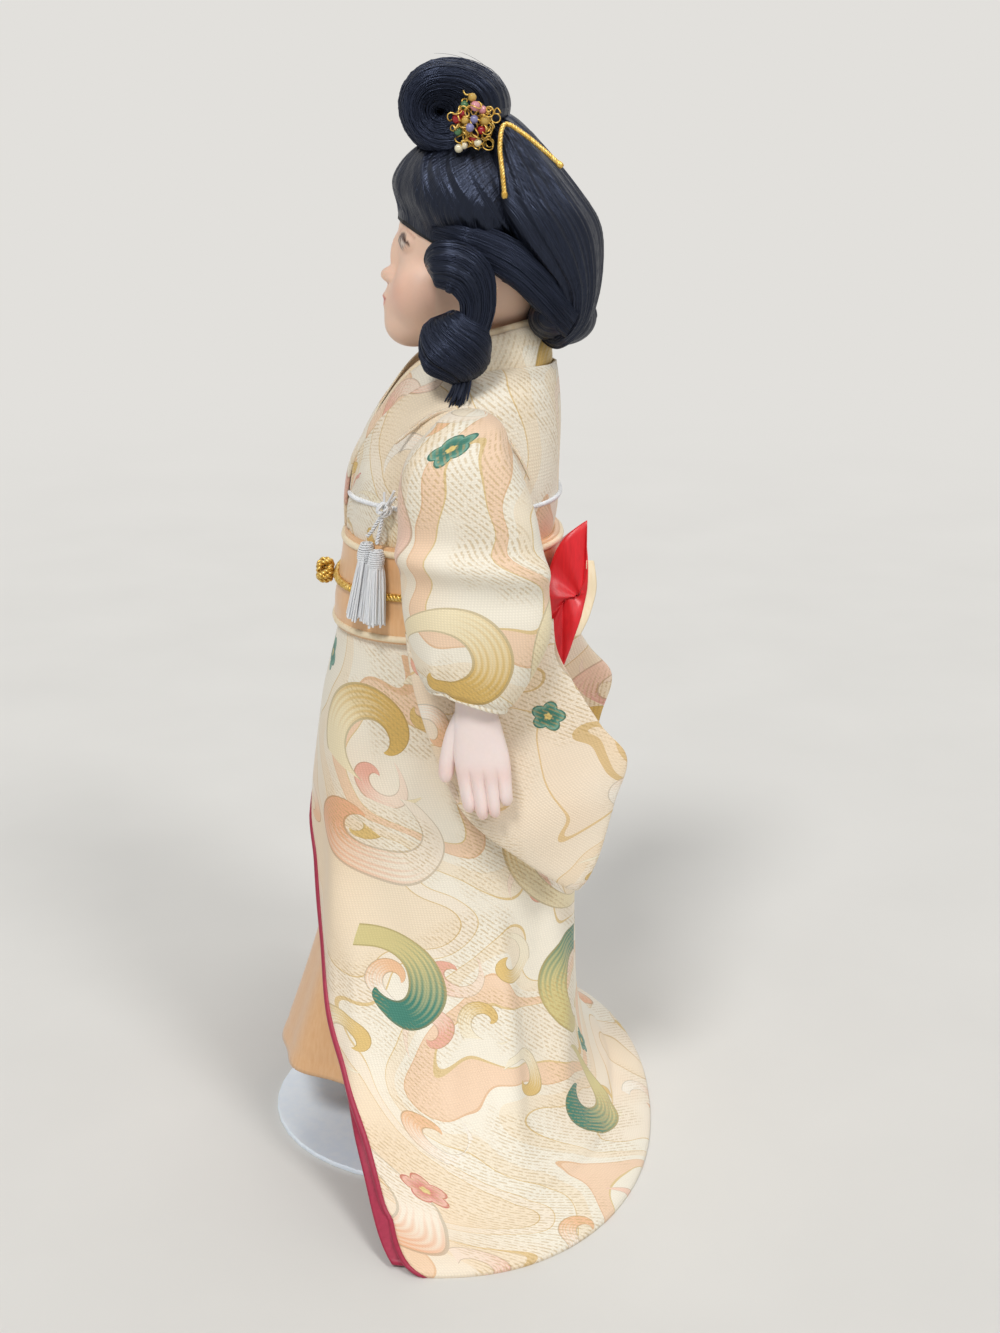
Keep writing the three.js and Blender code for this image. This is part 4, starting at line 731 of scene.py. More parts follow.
# %% Lining edge
EDGE_TOP = 136
for side, column in (("left", 0), ("right", -1)):
    edge = skirt[:-5, column]
    edge = edge[edge[:, 2] < EDGE_TOP] + (0, -0.9, 0)
    threads(f"{side}_lining_edge", [edge], 1.35, crimson, "doll", sides=3, ends=0.4)

# %% Under robe
ROBE_TOP, ROBE_HEM = 176, 28
turns = np.linspace(0, 2 * math.pi, 181)
waves = 1.8 * wobble(3.0 * np.cos(turns), 3.0 * np.sin(turns), 21) + 1.3 * np.cos(9 * turns + 0.7)
front, back, half = level(BODY, ROBE_TOP)
robe_top, robe_hem = np.array([front - 1.6, 41.6, half + 1.6]), np.array([-60, 50, 42])
robe_rows = []
for height in np.linspace(ROBE_TOP, ROBE_HEM, 90):
    fall = ((ROBE_TOP - height) / (ROBE_TOP - ROBE_HEM)) ** 1.5
    sizes = round_sizes(*(robe_top + (robe_hem - robe_top) * fall))
    ripple = fall * waves - 0.4 * hill(height, ROBE_HEM + 6, 1.2)
    robe_rows.append(oval_ring(sizes, height, turns, ripple))
under_kimono = cloth("under_kimono", robe_rows, peach, "doll", looped=True, thick=0.9)

# %% [markdown]
# ## The bodice and collars
# Above the sash the kimono fits the chest closely, rises over the shoulders and ends in a long collar band
# that crosses in front, left over right, and stands away from the nape. A seam runs round each armhole. The
# bodice is one loop of cloth whose upper edge follows the band. The band itself is a strip swept round the
# neck.

# %% Collar line
BAND_OUTER = [
    (1, -29, 237), (7.5, -28.4, 250), (14.5, -25.5, 264), (22, -16.5, 279), (25, -3, 290),
    (24, 11, 294), (20.5, 28, 295.5), (12, 40.5, 296), (0, 44.5, 296.5),
]
BAND_INNER = [
    (-10, -28.6, 238), (-3, -27.4, 252), (4.5, -24.5, 266), (11.5, -17, 281), (15.5, -5, 296),
    (18, 11, 305), (16.5, 27, 309.5), (9.5, 37.5, 311.5), (0, 41.5, 312),
]


def band_edge(edge, lift, count):
    """One edge of the collar from the left front round the nape; its left end is lifted over the right."""
    left = np.array(edge, float)
    right = left[:-1][::-1] * (-1, 1, 1)
    left[:3, 1] -= [lift, lift, lift * 0.6]
    return along_path(np.concatenate([left, right]), count)


def at_turns(line, turns):
    """The points of half a line round the neck at given turns, mirrored for turns to the right."""
    angle = np.arctan2(line[:, 0], 12 - line[:, 1])
    found = np.stack([np.interp(np.abs(turns), angle, line[:, k]) for k in range(3)], axis=1)
    found[:, 0] *= np.where(turns < 0, -1, 1)
    return found


turns = np.linspace(-math.pi, math.pi, 181)
half_line = along_path(np.array(BAND_OUTER, float), 120)
half_line[0, 0], half_line[-1, 0] = 0, 0
neckline = at_turns(half_line, turns) * (0.97, 1, 1) + (0, 0.9, 1.0)
print("neckline from", neckline[:, 2].min().round(1), "to", neckline[:, 2].max().round(1), "mm high")

# %% Bodice
BODICE_FOOT, ARMPIT = 212.2, 259
rises = np.minimum(neckline[:, 2], ARMPIT) - BODICE_FOOT


def chest_row(share, grow):
    """A row round the chest, at a share of the way up to the neckline, filled out in front."""
    row = np.array([
        body_ring(BODICE_FOOT + share * rise, grow, np.array([turn]))[0] for turn, rise in zip(turns, rises)
    ])
    ahead = np.exp(-((row[:, 0] / 30) ** 4)) * ease(-row[:, 1], 0, 14)
    row[:, 1] -= 4.2 * ahead * ease(row[:, 2], 225, 250)
    return row


def sloping_ring(half, front, back, heights, turns):
    """A ring of points that rises from the front to the shoulders and the back."""
    low, side, high = heights
    lean = np.cos(turns)
    z = side - (high - low) / 2 * lean + ((high + low) / 2 - side) * lean**2
    return oval_ring(round_sizes(front, back, half), z, turns)


lower, upper = chest_row(0.45, CLOTH_OUT), chest_row(0.9, CLOTH_OUT + 0.4)
yoke = sloping_ring(38.5, -18, 45.8, (264.5, 284.5, 288), turns)
shoulder = ease(np.abs(turns), 0.45, 0.95)[:, None]
yoke = yoke * shoulder + (0.45 * upper + 0.55 * neckline) * (1 - shoulder)
bodice = through([body_ring(BODICE_FOOT, CLOTH_OUT, turns), lower, upper, yoke, neckline], 90)[::-1]
drape = 0.9 * wobble(4 * turns[None, :], bodice[..., 2] * 0.08, 33) * ease(bodice[..., 2], 236, 255)
drape *= 1 - ease(np.linspace(1, 0, 91), 0.85, 1.0)[:, None]
bodice = swell(bodice, drape, True)
kimono_bodice = cloth("kimono_bodice", bodice, brocade, "doll", looped=True, thick=0.9, cut=(1.37, 0.22))


# %% Collar band
def band_surface(outer, inner, rows, bulge, lift):
    """A padded strip round the neck between two edges."""
    share = np.linspace(0, 1, rows + 1)[:, None, None]
    flat = band_edge(outer, lift, 141)[None] * (1 - share) + band_edge(inner, lift, 141)[None] * share
    return swell(flat, np.repeat(bulge * np.sin(share[:, :, 0] * math.pi) ** 0.6, 141, axis=1))


collar = band_surface(BAND_OUTER, BAND_INNER, 14, 1.2, 1.4)
kimono_collar = cloth("kimono_collar", collar, brocade, "doll", thick=1.1, cut=(2.1, 0.71))
tucked = np.array(BAND_INNER, float)
under_outer = tucked + (np.array(BAND_OUTER) - tucked) * 0.5 - np.array([0.6, -1.0, 0])
under_inner = tucked + np.array([-1.6, 0.9, 1.5]) * (tucked[:, :1] != 0) + (0, 0, 0.6)
under = band_surface(under_outer, under_inner, 8, 0.3, 0.4)
under_collar = cloth("under_collar", under, cream, "doll", thick=0.6)

# %% Armhole seams
SIDES = ((1, "left"), (-1, "right"))  # which way x goes on each side of the doll
seam = along_path([
    (36, -10, 274), (37.5, 2, 283.5), (38.2, 12, 286), (39, 22, 283), (40.4, 31.5, 272), (39.9, 36.5, 262),
], 60) - (1.3, 0, 0)
for side, name in SIDES:
    threads(f"{name}_armhole_seam", [seam * (side, 1, 1)], 0.9, brocade, "doll", sides=3, ends=0.5)

# %% [markdown]
# ## Sash, cords, bow and tassels
# A stiff peach satin sash goes round the waist, with a cream piping at each edge, a gold braid round its
# middle and a red bow behind. A white cord is tied above it, and its two ends carry rayon tassels that swing.
# The sash and the bow are grids. Braid and tassels are bundles of threads, because their silhouettes are
# made of threads.


# %% Sash and piping
def closed_turns(count):
    """Even turns all round, for a ring that closes on itself."""
    return np.linspace(0, 2 * math.pi, count, endpoint=False)


SASH_LOW, SASH_HIGH, SASH_OUT, SASH_ROWS = 204, 236, 8.9, 40
TURNED_IN = 1.9
turns = np.linspace(0, 2 * math.pi, 181)
sash_rows = []
for height, inset in zip(
    [SASH_HIGH - 0.2, *np.linspace(SASH_HIGH, SASH_LOW, SASH_ROWS), SASH_LOW + 0.2],
    [TURNED_IN, *[0] * SASH_ROWS, TURNED_IN],
):
    crease = 0.35 * wobble(2.2 * np.cos(turns), height * 0.33 + 1.5 * np.sin(turns), 51)
    sash_rows.append(body_ring(height, SASH_OUT, turns, crease - inset))
obi = cloth("obi", sash_rows, peach, "doll", looped=True, thick=1.4)
for name, height in (("obi_upper_piping", 235.1), ("obi_lower_piping", 204.9)):
    threads(name, [body_ring(height, 10.0, closed_turns(240))], 1.25, cream, "doll", closed=True, sides=3)

# %% Gold braid and its knot
BRAID_Z = 220
braid = body_ring(BRAID_Z, 10.6, closed_turns(700))
threads("obi_cord", twisted(braid, 3, 0.75, 4.2, closed=True), 0.75, gold_braid, "doll", closed=True)
knot_middle = np.array([0, level(BODY, BRAID_Z)[0] - 12.1 - 3.2, BRAID_Z])
knot_paths = []
a = closed_turns(60)
for tilt in np.arange(4) * math.pi / 4:
    ring = xyz(4.2 * np.cos(a), 2.6 * np.sin(a) + 0.5 * np.sin(3 * a), 2.3 * np.sin(a + tilt))
    turn = np.array(Matrix.Rotation(tilt, 3, "Y"))
    knot_paths += twisted(ring @ turn.T * (1, 1, 0.8) + knot_middle, 2, 0.55, 3.0, closed=True)
threads("obi_cord_knot", knot_paths, 0.62, gold_braid, "doll", closed=True)

# %% Bow wings
BOW_MIDDLE, BOW_ROLL = np.array([0, 52.1, 215]), math.radians(15)
WING_LENGTH, WING_LEAN, WING_DROOP = 33, 4.4, 5
ROOT_HALF, WING_FLARE = 9, 18
PUFF_ROOT, PUFF_AHEAD, PUFF_BEHIND = 1.2, 9.2, 2.9
askew = np.array(Matrix.Rotation(-BOW_ROLL, 3, "Y"))


def wing_surface(side, shares, sizes, turns, grow=0.0):
    """A folded loop of the bow: rows from the knot outwards, columns round it, closed by smaller sizes."""
    s, size = np.array(shares)[:, None], np.array(sizes)[:, None]
    ahead, up = -np.cos(turns)[None, :], np.sin(turns)[None, :]
    opened = np.clip(s, 0, 1) * (1 + 0.6 * (1 - np.clip(s, 0, 1)))
    puff = (PUFF_ROOT + np.where(ahead > 0, PUFF_AHEAD, PUFF_BEHIND) * opened) * size + grow
    out = np.where(ahead > 0, 1 - up**4, (1 - up**2) ** 1.5)
    pleat = (1.1 * np.sin(6.5 * up + 0.9) + 0.5 * np.sin(15 * up)) * ease(s, 0, 0.2) * (1 - 0.9 * s)
    seam = 1.5 * hill(up, -0.02, 0.05) * ease(s, 0.3, 0.8) * (ahead > 0)
    wrinkle = np.sin(9 * up + 1.5 * ahead) + 0.7 * np.sin(4 * up - 5 * ahead + 1)
    x = side * (3.0 + WING_LENGTH * s + 0.55 * wrinkle * ease(s, 0.7, 1.0))
    y = WING_LEAN * s * up - np.sign(ahead) * puff * out + pleat + seam
    z = (ROOT_HALF + WING_FLARE * s) * size * up - WING_DROOP * s
    return xyz(x, y, z) @ askew.T + BOW_MIDDLE


loop_shares = [*np.linspace(0, 1, 46), 1.012, 1.016, 1.0, 0.97]
loop_sizes = [*[1] * 46, 0.975, 0.9, 0.62, 0.05]
round_loop = np.linspace(-math.pi, math.pi, 161)
rear_edge = np.linspace(-0.55, 0.5, 41)
bow_wings = []
for side, name in SIDES:
    wing = wing_surface(side, loop_shares, loop_sizes, round_loop)
    bow_wings.append(cloth(f"bow_{name}_wing", wing, red, "doll", looped=True, turned=side > 0))
    facing = [
        wing_surface(side, [1.0 - 0.012 * out], [1], rear_edge, out)[0] for out in np.linspace(-0.6, 3.4, 9)
    ]
    cloth(f"bow_{name}_facing", facing, cream, "doll", thick=0.6, turned=side > 0)

# %% Bow knot
turns = np.linspace(0, 2 * math.pi, 81)
band_rows = []
for share, size in zip([-1, -1, *np.linspace(-1, 1, 25), 1, 1], [0.02, 0.6, *[1] * 25, 0.6, 0.02]):
    wide = 8 * (1 - 0.12 * (1 - share**2))
    tuck = 0.5 * np.sin(6 * turns + 3 * share)
    row = xyz(share * wide, size * (4.2 + tuck) * bent(np.cos(turns), 0.7),
              size * (11 + tuck) * bent(np.sin(turns), 0.7))
    band_rows.append(row @ askew.T + BOW_MIDDLE)
cloth("bow_knot", band_rows, red, "doll", looped=True)

# %% White cord and its knot
CHEST_Z = 251
chest_ring = body_ring(CHEST_Z, 7.6, closed_turns(600))
ahead = np.exp(-((chest_ring[:, 0] / 26) ** 4)) * (chest_ring[:, 1] < 8)
chest_ring[:, 1] -= 4.0 * ahead * ease(-chest_ring[:, 1], 0, 16)
threads("chest_cord", twisted(chest_ring, 2, 0.45, 2.6, closed=True), 0.55, white, "doll", closed=True)
KNOT = np.array([36.7, -14.2, CHEST_Z])
random = np.random.default_rng(6)
bights = []
a = closed_turns(40)
for k in range(5):
    turned = np.array(Matrix.Rotation(k * 1.1, 3, Vector(random.normal(0, 1, 3))))
    bights.append(xyz(2.5 * np.cos(a), 2.3 * np.sin(a), 0.9 * np.sin(2 * a)) @ turned.T + KNOT)
for _ in range(3):
    spread = random.normal(0, 1.6, 3) * (1, 1.2, 0.4)
    bights.append(along_path([KNOT, KNOT + spread + (1.5, 0, 3.5), KNOT + spread * 1.6 + (2.2, 0, 6.0)], 40))
threads("chest_knot", bights, 0.5, white, "doll")

# %% Tassels
HEAD_RADIUS, KNOT_RADIUS = 2.4, 3.1
TASSELS = [  # name, where its head hangs, where its threads end
    ("front_tassel", (34.4, -20.5, 239), (34.6, -25.0, 211)),
    ("rear_tassel", (39.8, -16.8, 237.5), (41.0, -18.2, 210.5)),
]
for name, top, low in TASSELS:
    top, low = np.array(top), np.array(low)
    strands = []
    for _ in range(70):
        a, reach = random.uniform(0, 2 * math.pi), math.sqrt(random.uniform(0.05, 1))
        spread = np.array([math.cos(a), math.sin(a), 0]) * reach
        end = low + spread * 3.9 + (0, 0, random.uniform(-0.4, 1.8))
        middle = top * 0.6 + low * 0.4 + spread * 2.9 + np.append(random.normal(0, 0.25, 2), 0)
        bulge = top + (low - top) * 0.16 + spread * 2.0
        strands.append(along_path([top + spread * 0.6, bulge, middle, end], 14))
    start = KNOT + (top - KNOT) / np.linalg.norm(top - KNOT) * KNOT_RADIUS
    line = along_path([start, (start + top) / 2 + (0.3, -0.3, 0), top + (0, 0, 2)], 60)
    strands += twisted(line, 2, 0.4, 2.4)
    a = np.linspace(0, 2 * math.pi, 24)
    for wrap in np.linspace(0.02, 0.24, 9):
        ring = HEAD_RADIUS * (0.75 + 0.35 * math.sin(wrap * 11))
        strands.append(top + (low - top) * wrap + xyz(ring * np.cos(a), ring * np.sin(a), 0))
    threads(name, strands, 0.36, white, name)

# %% [markdown]
# ## Sleeves
# Each sleeve is a wide tube from the armhole to a narrow cuff, and behind the hand hangs the long pouch that
# a grown-up's kimono has. The tube is a loft of flattened rings with folds. The pouch is a flat bag. Both
# swing with the arm.

# %% Sleeve forms
ARM_Y, ARM_Z = 16, 270
TUBE = [  # each ring's front and rear point, from the shoulder, and how far out its two sides are
    ((-15.8, -74), (13, -84.5), (45.6, 70.0)), ((-19.5, -66), (22, -70), (45.0, 71.6)),
    ((-23, -50), (27.5, -52), (44, 72)), ((-24.5, -22), (22.5, -18), (41.5, 72)),
    ((-22, 0), (14.5, 4), (39.4, 69.6)), ((-13, 11.5), (11, 13), (39.2, 60)),
    ((-7, 16.6), (6, 16.6), (40.6, 52)), ((0, 18.0), (0.02, 18.0), (45.99, 46.01)),
]
POUCH = [
    ((38, -157), (42, -152), (48.2, 49)), ((33, -155.5), (46, -142.5), (46.6, 50.6)),
    ((17, -145), (51, -123), (45.6, 51.6)), ((-1, -130), (55, -106), (45.6, 51.8)),
    ((-11, -111), (45, -93), (45.6, 51.8)), ((-20, -82), (31, -69), (45.6, 51.6)),
    ((-23, -60), (28.5, -55), (45.6, 51.0)),
]
SLEEVE_FOLDS = [(229, 6, 1.5), (238, 4.5, -2.4), (246, 6, 1.1)]  # height, width and depth
HEM_TURN = [(0.015, -0.45), (0.035, -0.5), (0.055, 0.1), (0.06, 6), (0.06, 14)]  # share inwards, rise


def flat_ring(front, rear, sides, turns):
    """A flattened ring from a front point to a rear one, as wide as its two sides are apart."""
    along = 0.5 - 0.5 * bent(np.cos(turns), 0.8)
    y = ARM_Y + front[0] + (rear[0] - front[0]) * along
    z = ARM_Z + front[1] + (rear[1] - front[1]) * along
    x = (sides[0] + sides[1]) / 2 + (sides[1] - sides[0]) / 2 * bent(np.sin(turns), 0.8)
    return xyz(x, y, z)


turns = np.linspace(-math.pi, math.pi, 161)
tube = through([flat_ring(*ring, turns) for ring in TUBE], 130)[::-1]
outside = ease(np.sin(turns), -0.2, 0.5)[None, :]
y, z = tube[..., 1], tube[..., 2]
sag = z + 0.12 * (y - ARM_Y)
folds = outside * sum(depth * hill(sag, height, width) for height, width, depth in SLEEVE_FOLDS)
gather = ease(z, 255, 276) * (1 - ease(z, 280, 287))
folds += gather * 0.35 * wobble(9 * turns[None, :], z * 0.03, 70)
folds += 1.1 * wobble(3.2 * turns[None, :], z * 0.045, 71) * outside
folds += 0.5 * hill(y, 5, 7) * near(z, 212, 196) * np.cos(y * 0.9)
folds -= 1.4 * hill(y, 3 + (z - 200) * 0.2, 5) * near(z, 232, 200)
folds += 0.8 * hill(np.arange(len(tube))[:, None], 128, 2.0)
tube = swell(tube, folds * (1 - ease(z, 284, 288)), True)
hem = tube[-1]
inner_hem = [hem + (hem.mean(axis=0) - hem) * (share, share, 0) + (0, 0, rise) for share, rise in HEM_TURN]
tube = np.concatenate([tube, np.array(inner_hem)])
bag = through([flat_ring(*ring, turns) for ring in POUCH], 100)[::-1]
y, z = bag[..., 1], bag[..., 2]
slump = 1.4 * wobble((y - z) * 0.07, (y + z) * 0.05, 77) + 0.9 * wobble((y - z) * 0.16, (y + z) * 0.05, 78)
bag[..., 0] += slump * (1 - ease(z, 200, 212)) * np.abs(np.sin(turns))[None, :] ** 0.4
print("sleeve tube", tube.shape, "pouch", bag.shape)

# %% Sleeve pieces
sleeves = {}
for side, name in SIDES:
    sleeves[name] = [
        cloth(f"{name}_sleeve{part}", surface * (side, 1, 1), brocade, f"{name}_arm", looped=True,
              turned=side < 0, cut=(start + side, rise))
        for part, surface, start, rise in (("", tube, 3.14, 0.4), ("_pouch", bag, 6.2, 0.9))
    ]

# %% [markdown]
# ## Porcelain: head and hands
# Bisque is porcelain fired without a glaze, so it is matt, pale and a little translucent, with colour painted
# on: blushed cheeks, red lips, brown lashes. The head is cast in one piece with its neck. A sculptor would
# build it up from simple masses, and so does this lesson: it joins soft ellipsoids for skull, jaw, cheeks,
# nose and lips, and a sphere's points are moved out along rays until they meet that form. The sphere's pole
# is at the face, where its points lie closest. A hand is a tube of rows whose outline splits into four
# fingers, with a thumb beside them.


# %% Bisque finish
def painted_finish(name, sockets, scale, detail, clouds, strength=0.0):
    """A material whose colour is the paint on the mesh's points, made a little cloudy."""
    made, tree, shader = start_material(name, sockets)
    painted = add_node(tree, "ShaderNodeAttribute", attribute_name="paint")
    grain = noise(tree, coordinates(tree), scale, detail)
    cloud = remap(tree, grain, to_low=clouds[0], to_high=clouds[1])
    dress(tree, shader, blend(tree, 1.0, painted, cloud, "MULTIPLY"), grain if strength else None, strength)
    return made


def paint_points(mesh, tints):
    """Stores a colour on each point of a mesh."""
    layer = mesh.verts.layers.float_color.new("paint")
    for vert, tint in zip(mesh.verts, tints):
        vert[layer] = tint


def painted_on(mesh, coats):
    """Paints a mesh: skin, then each coat's colour where its mask is 1."""
    tints = np.tile(np.array(linear("#F2D3C2")), (len(mesh.verts), 1))
    for mask, hex_code in coats:
        mask = np.clip(np.broadcast_to(mask, len(tints)), 0, 1)[:, None]
        tints = tints * (1 - mask) + np.array(linear(hex_code)) * mask
    paint_points(mesh, tints)


def points_of(mesh):
    """The points of a bmesh in millimetres."""
    return np.array([vert.co for vert in mesh.verts]) / MM


# Unglazed porcelain: matt, with light that soaks in a little; its paint is a colour on the mesh's points
bisque = painted_finish("unglazed_porcelain", {
    "Roughness": 0.46, "Subsurface Weight": 0.12, "Subsurface Scale": 0.002,
    "Subsurface Radius": (1.0, 0.5, 0.3),
}, 700.0, 3.0, (0.965, 1.02), 0.08)
print("made", bisque.name)

# %% Head form
MASSES = [  # middle, half sizes, how softly it joins; a mass beside the middle is there on both sides
    ((0, 18, 338), (23.5, 28, 31), 0.1), ((0, 3, 319), (17.5, 16, 15.5), 6), ((0, -6, 311), (9, 9, 8.5), 5),
    ((0, -5.2, 319.5), (10.5, 9.4, 7.5), 4), ((12, -1.5, 323), (9.5, 9.5, 10), 5),
    ((0, -9.2, 333.5), (2.3, 3.4, 8), 2.2), ((0, -12.0, 327.6), (2.7, 4.1, 2.9), 1.6),
    ((2.6, -11, 326.4), (1.9, 2.6, 1.8), 1.0), ((0, -12.7, 320.4), (5.6, 2.9, 1.3), 0.8),
    ((0, -12.3, 317.2), (4.6, 2.8, 1.6), 0.8), ((9.6, -4.2, 339.5), (5.4, 4.6, 3.7), 1.0),
    ((22.8, 22, 331), (2.6, 5.2, 7.5), 1.2),
]
NECK_Y, NECK_RADIUS, NECK_FOOT, NECK_TOP, NECK_SOFT = 26, 9.3, 291.4, 325, 5


def joined(first, second, soft):
    """The smaller of two distances, with a soft join."""
    close = np.maximum(soft - np.abs(first - second), 0) / soft
    return np.minimum(first, second) - close**2 * soft / 4


def head_form(points):
    """About how far points lie outside the head, in millimetres, below 0 inside."""
    total = np.inf
    for (x, y, z), half, soft in MASSES:
        for side in (1, -1) if x else (1,):
            local = points - np.array([x * side, y, z], float)
            scaled = np.linalg.norm(local / half, axis=-1)
            steep = np.linalg.norm(local / np.square(half), axis=-1)
            total = joined(total, scaled * (scaled - 1) / np.maximum(steep, 1e-9), soft)
    neck = np.hypot(points[..., 0], points[..., 1] - NECK_Y) - NECK_RADIUS
    neck = np.maximum(np.maximum(neck, NECK_FOOT - points[..., 2]), points[..., 2] - NECK_TOP)
    return joined(total, neck, NECK_SOFT)


print("masses:", len(MASSES))

# %% Head mesh
HEAD_MIDDLE = np.array([0, 14, 326])
face = bmesh.new()
bmesh.ops.create_uvsphere(face, u_segments=180, v_segments=150, radius=1,
                          matrix=Matrix.Rotation(math.pi / 2, 4, "X"))
rays_out = np.array([vert.co.normalized() for vert in face.verts])
steps = np.linspace(2, 60, 117)
outside = np.array([head_form(HEAD_MIDDLE + rays_out * step) > 0 for step in steps])
last_in = len(steps) - 1 - np.argmax(~outside[::-1], axis=0)
low, high = steps[last_in], steps[np.minimum(last_in + 1, len(steps) - 1)]
for _ in range(18):
    middle = (low + high) / 2
    beyond = head_form(HEAD_MIDDLE + rays_out * middle[:, None]) > 0
    low, high = np.where(beyond, low, middle), np.where(beyond, middle, high)
for vert, ray, reach in zip(face.verts, rays_out, low):
    vert.co = (HEAD_MIDDLE + ray * reach) * MM
bmesh.ops.recalc_face_normals(face, faces=face.faces)
print("head of", len(face.verts), "points")

# %% Face paint
EYE_X, EYE_Z, EYE_HALF = 9.6, 339.3, 5.0
IRIS_X, IRIS_Z = 9.4, 0.5
BROW_X, BROW_Z, BROW_HALF = 10.5, 346.3, 6.5
MOUTH_HALF, MOUTH_Z = 5.3, 319.0
at = points_of(face)
ahead = at[:, 1] < 4
wide, tall = np.abs(at[:, 0]), at[:, 2]
blush = hill(wide, 15, 8) * hill(tall, 323, 7) * ahead
lip_wide = wide / MOUTH_HALF
taper = np.sqrt(np.clip(1 - lip_wide**2, 0, 1))
on_lips = ahead * (taper > 0)
seam = MOUTH_Z + 0.7 * lip_wide**2
lip_top = seam + 2.1 * taper * (1 - 0.25 * hill(lip_wide, 0, 0.16))
lip_foot = seam - 2.6 * taper**1.5
upper_lip = on_lips * ease(tall, seam - 0.3, seam) * (1 - ease(tall, lip_top - 0.5, lip_top + 0.1))
lower_lip = on_lips * ease(tall, lip_foot - 0.1, lip_foot + 0.5) * (1 - ease(tall, seam, seam + 0.3))
mouth = ahead * near(np.abs(tall - seam), 0.5, 0.15) * (lip_wide < 0.95)
eye_x, eye_z = (wide - EYE_X) / EYE_HALF, tall - EYE_Z
arch, eye_wide = 1 - eye_x**2, np.abs(eye_x)
lid_top, lid_low = 2.5 * arch + 0.3, -1.9 * arch
in_eye = ahead * (eye_wide < 1) * ease(lid_top - eye_z, 0, 0.4) * ease(eye_z - lid_low, 0, 0.4)
from_iris = np.hypot(wide - IRIS_X, eye_z - IRIS_Z)
iris, pupil = in_eye * near(from_iris, 2.6, 2.3), in_eye * near(from_iris, 1.3, 1.0)
glint = in_eye * near(np.hypot(wide - 8.8, eye_z - 1.2), 0.7, 0.4)
lash = ahead * (eye_wide < 1.06) * near(np.abs(eye_z - 2.6 * arch - 0.35), 0.8, 0.4)
lash_low = ahead * (eye_wide < 0.9) * near(np.abs(eye_z - lid_low), 0.45, 0.2)
crease = ahead * (eye_wide < 1.1) * near(np.abs(eye_z - 2.2 * arch - 2.6), 0.5, 0.2)
brow_x = (wide - BROW_X) / BROW_HALF
brow = ahead * (np.abs(brow_x) < 1) * near(np.abs(tall - BROW_Z - 1.1 * (1 - brow_x**2)), 0.8, 0.35)
nostril = ahead * near(np.hypot(wide - 1.7, (tall - 324.6) * 1.3), 0.9, 0.5) * (at[:, 1] < -10)
painted_on(face, [
    (0.6, "#F6CDB0"), (blush * 0.34, "#E79A83"), (crease * 0.5, "#B77E66"), (in_eye, "#D8C8BC"),
    (iris, "#5A3118"), (pupil, "#120A08"), (glint, "#FFFFFF"), (lash_low * 0.6, "#5A3A2C"), (lash, "#4A2C20"),
    (brow * 0.6, "#6A4A38"), (upper_lip * 0.75, "#D9776A"), (lower_lip * 0.7, "#DF8476"),
    (mouth * 0.6, "#B0524A"), (nostril * 0.4, "#B56A56"),
])
piece("head", face, bisque, "head")
print("head painted")

# %% Hand forms
FOREARM = [  # height, middle, half width and half thickness
    (144, 22.2, 8.6, 3.3), (150, 21.7, 8.9, 3.7), (158, 20.8, 9.4, 4.2), (168, 19.6, 9.7, 4.6),
    (178, 18.3, 8.5, 5.0), (189, 17.4, 6.9, 5.8), (205, 16.6, 7.6, 7.0), (222, 16.0, 8.5, 8.0),
]
FINGERS = [  # where each lies across the hand, from -1 to 1, and the height of its tip
    (-0.75, 147.0), (-0.25, 144.4), (0.25, 145.2), (0.75, 149.6),
]
FINGER_HALF, HAND_X, ARM_TOP = 0.26, 58.6, 222
KNUCKLE_LOW, KNUCKLE_HIGH = 155, 166


def rounded(share):
    """The height of a quarter round at a share of its length, flat from 1 on."""
    share = np.clip(share, 0, 1)
    return np.sqrt(share * (2 - share))


loop = np.linspace(-math.pi, math.pi, 193)
reach_y = -np.cos(loop)
across_x = np.where(np.abs(np.sin(loop)) < 1e-6, 0, np.sign(np.sin(loop)))
lobe = np.zeros_like(loop)
tips = np.full_like(loop, 150.0)
for middle, tip in FINGERS:
    local = (reach_y - middle) / FINGER_HALF
    dome = np.sqrt(np.maximum(1 - local**2, 0.0))
    inside = np.abs(local) < 1
    lobe = np.where(inside, np.maximum(lobe, dome), lobe)
    tips = np.where(inside, tip + 3.2 * (1 - dome), tips)
lobe = np.maximum(lobe, 0.3)
palm = np.sqrt(np.maximum(1 - reach_y**2, 0)) ** 0.8
finger = 0.25 * palm + 0.75 * lobe * np.maximum(palm, 0.55) ** 0.3
hand_rows = []
for share in [*np.linspace(0, 0.93, 84), *(1 - 0.07 * np.linspace(1, 0, 14) ** 2)]:
    height = ARM_TOP + (tips - ARM_TOP) * share
    middle, wide_y, thick = np.array([level(FOREARM, h) for h in height]).T
    fingers = 1 - ease(height, KNUCKLE_LOW, KNUCKLE_HIGH)
    body = (palm * (1 - fingers) + finger * fingers) * thick
    x = HAND_X + across_x * body * rounded((height - tips) / 4.5)
    hand_rows.append(xyz(x, middle + wide_y * reach_y, height))
thumb_path = along_path([(57.8, 13.5, 184), (57.4, 10.0, 176), (57.0, 7.6, 166), (56.8, 6.9, 157.5)], 40)
circle = np.linspace(-math.pi, math.pi, 41)
thumb_rows = []
for number, spot in enumerate(thumb_path):
    size = (3.4 - 0.8 * number / 39) * rounded((39 - number) / 6)
    thumb_rows.append(spot + xyz(size * 0.95 * np.sin(circle), -size * np.cos(circle), 0))
print("hand of", len(hand_rows), "rows")

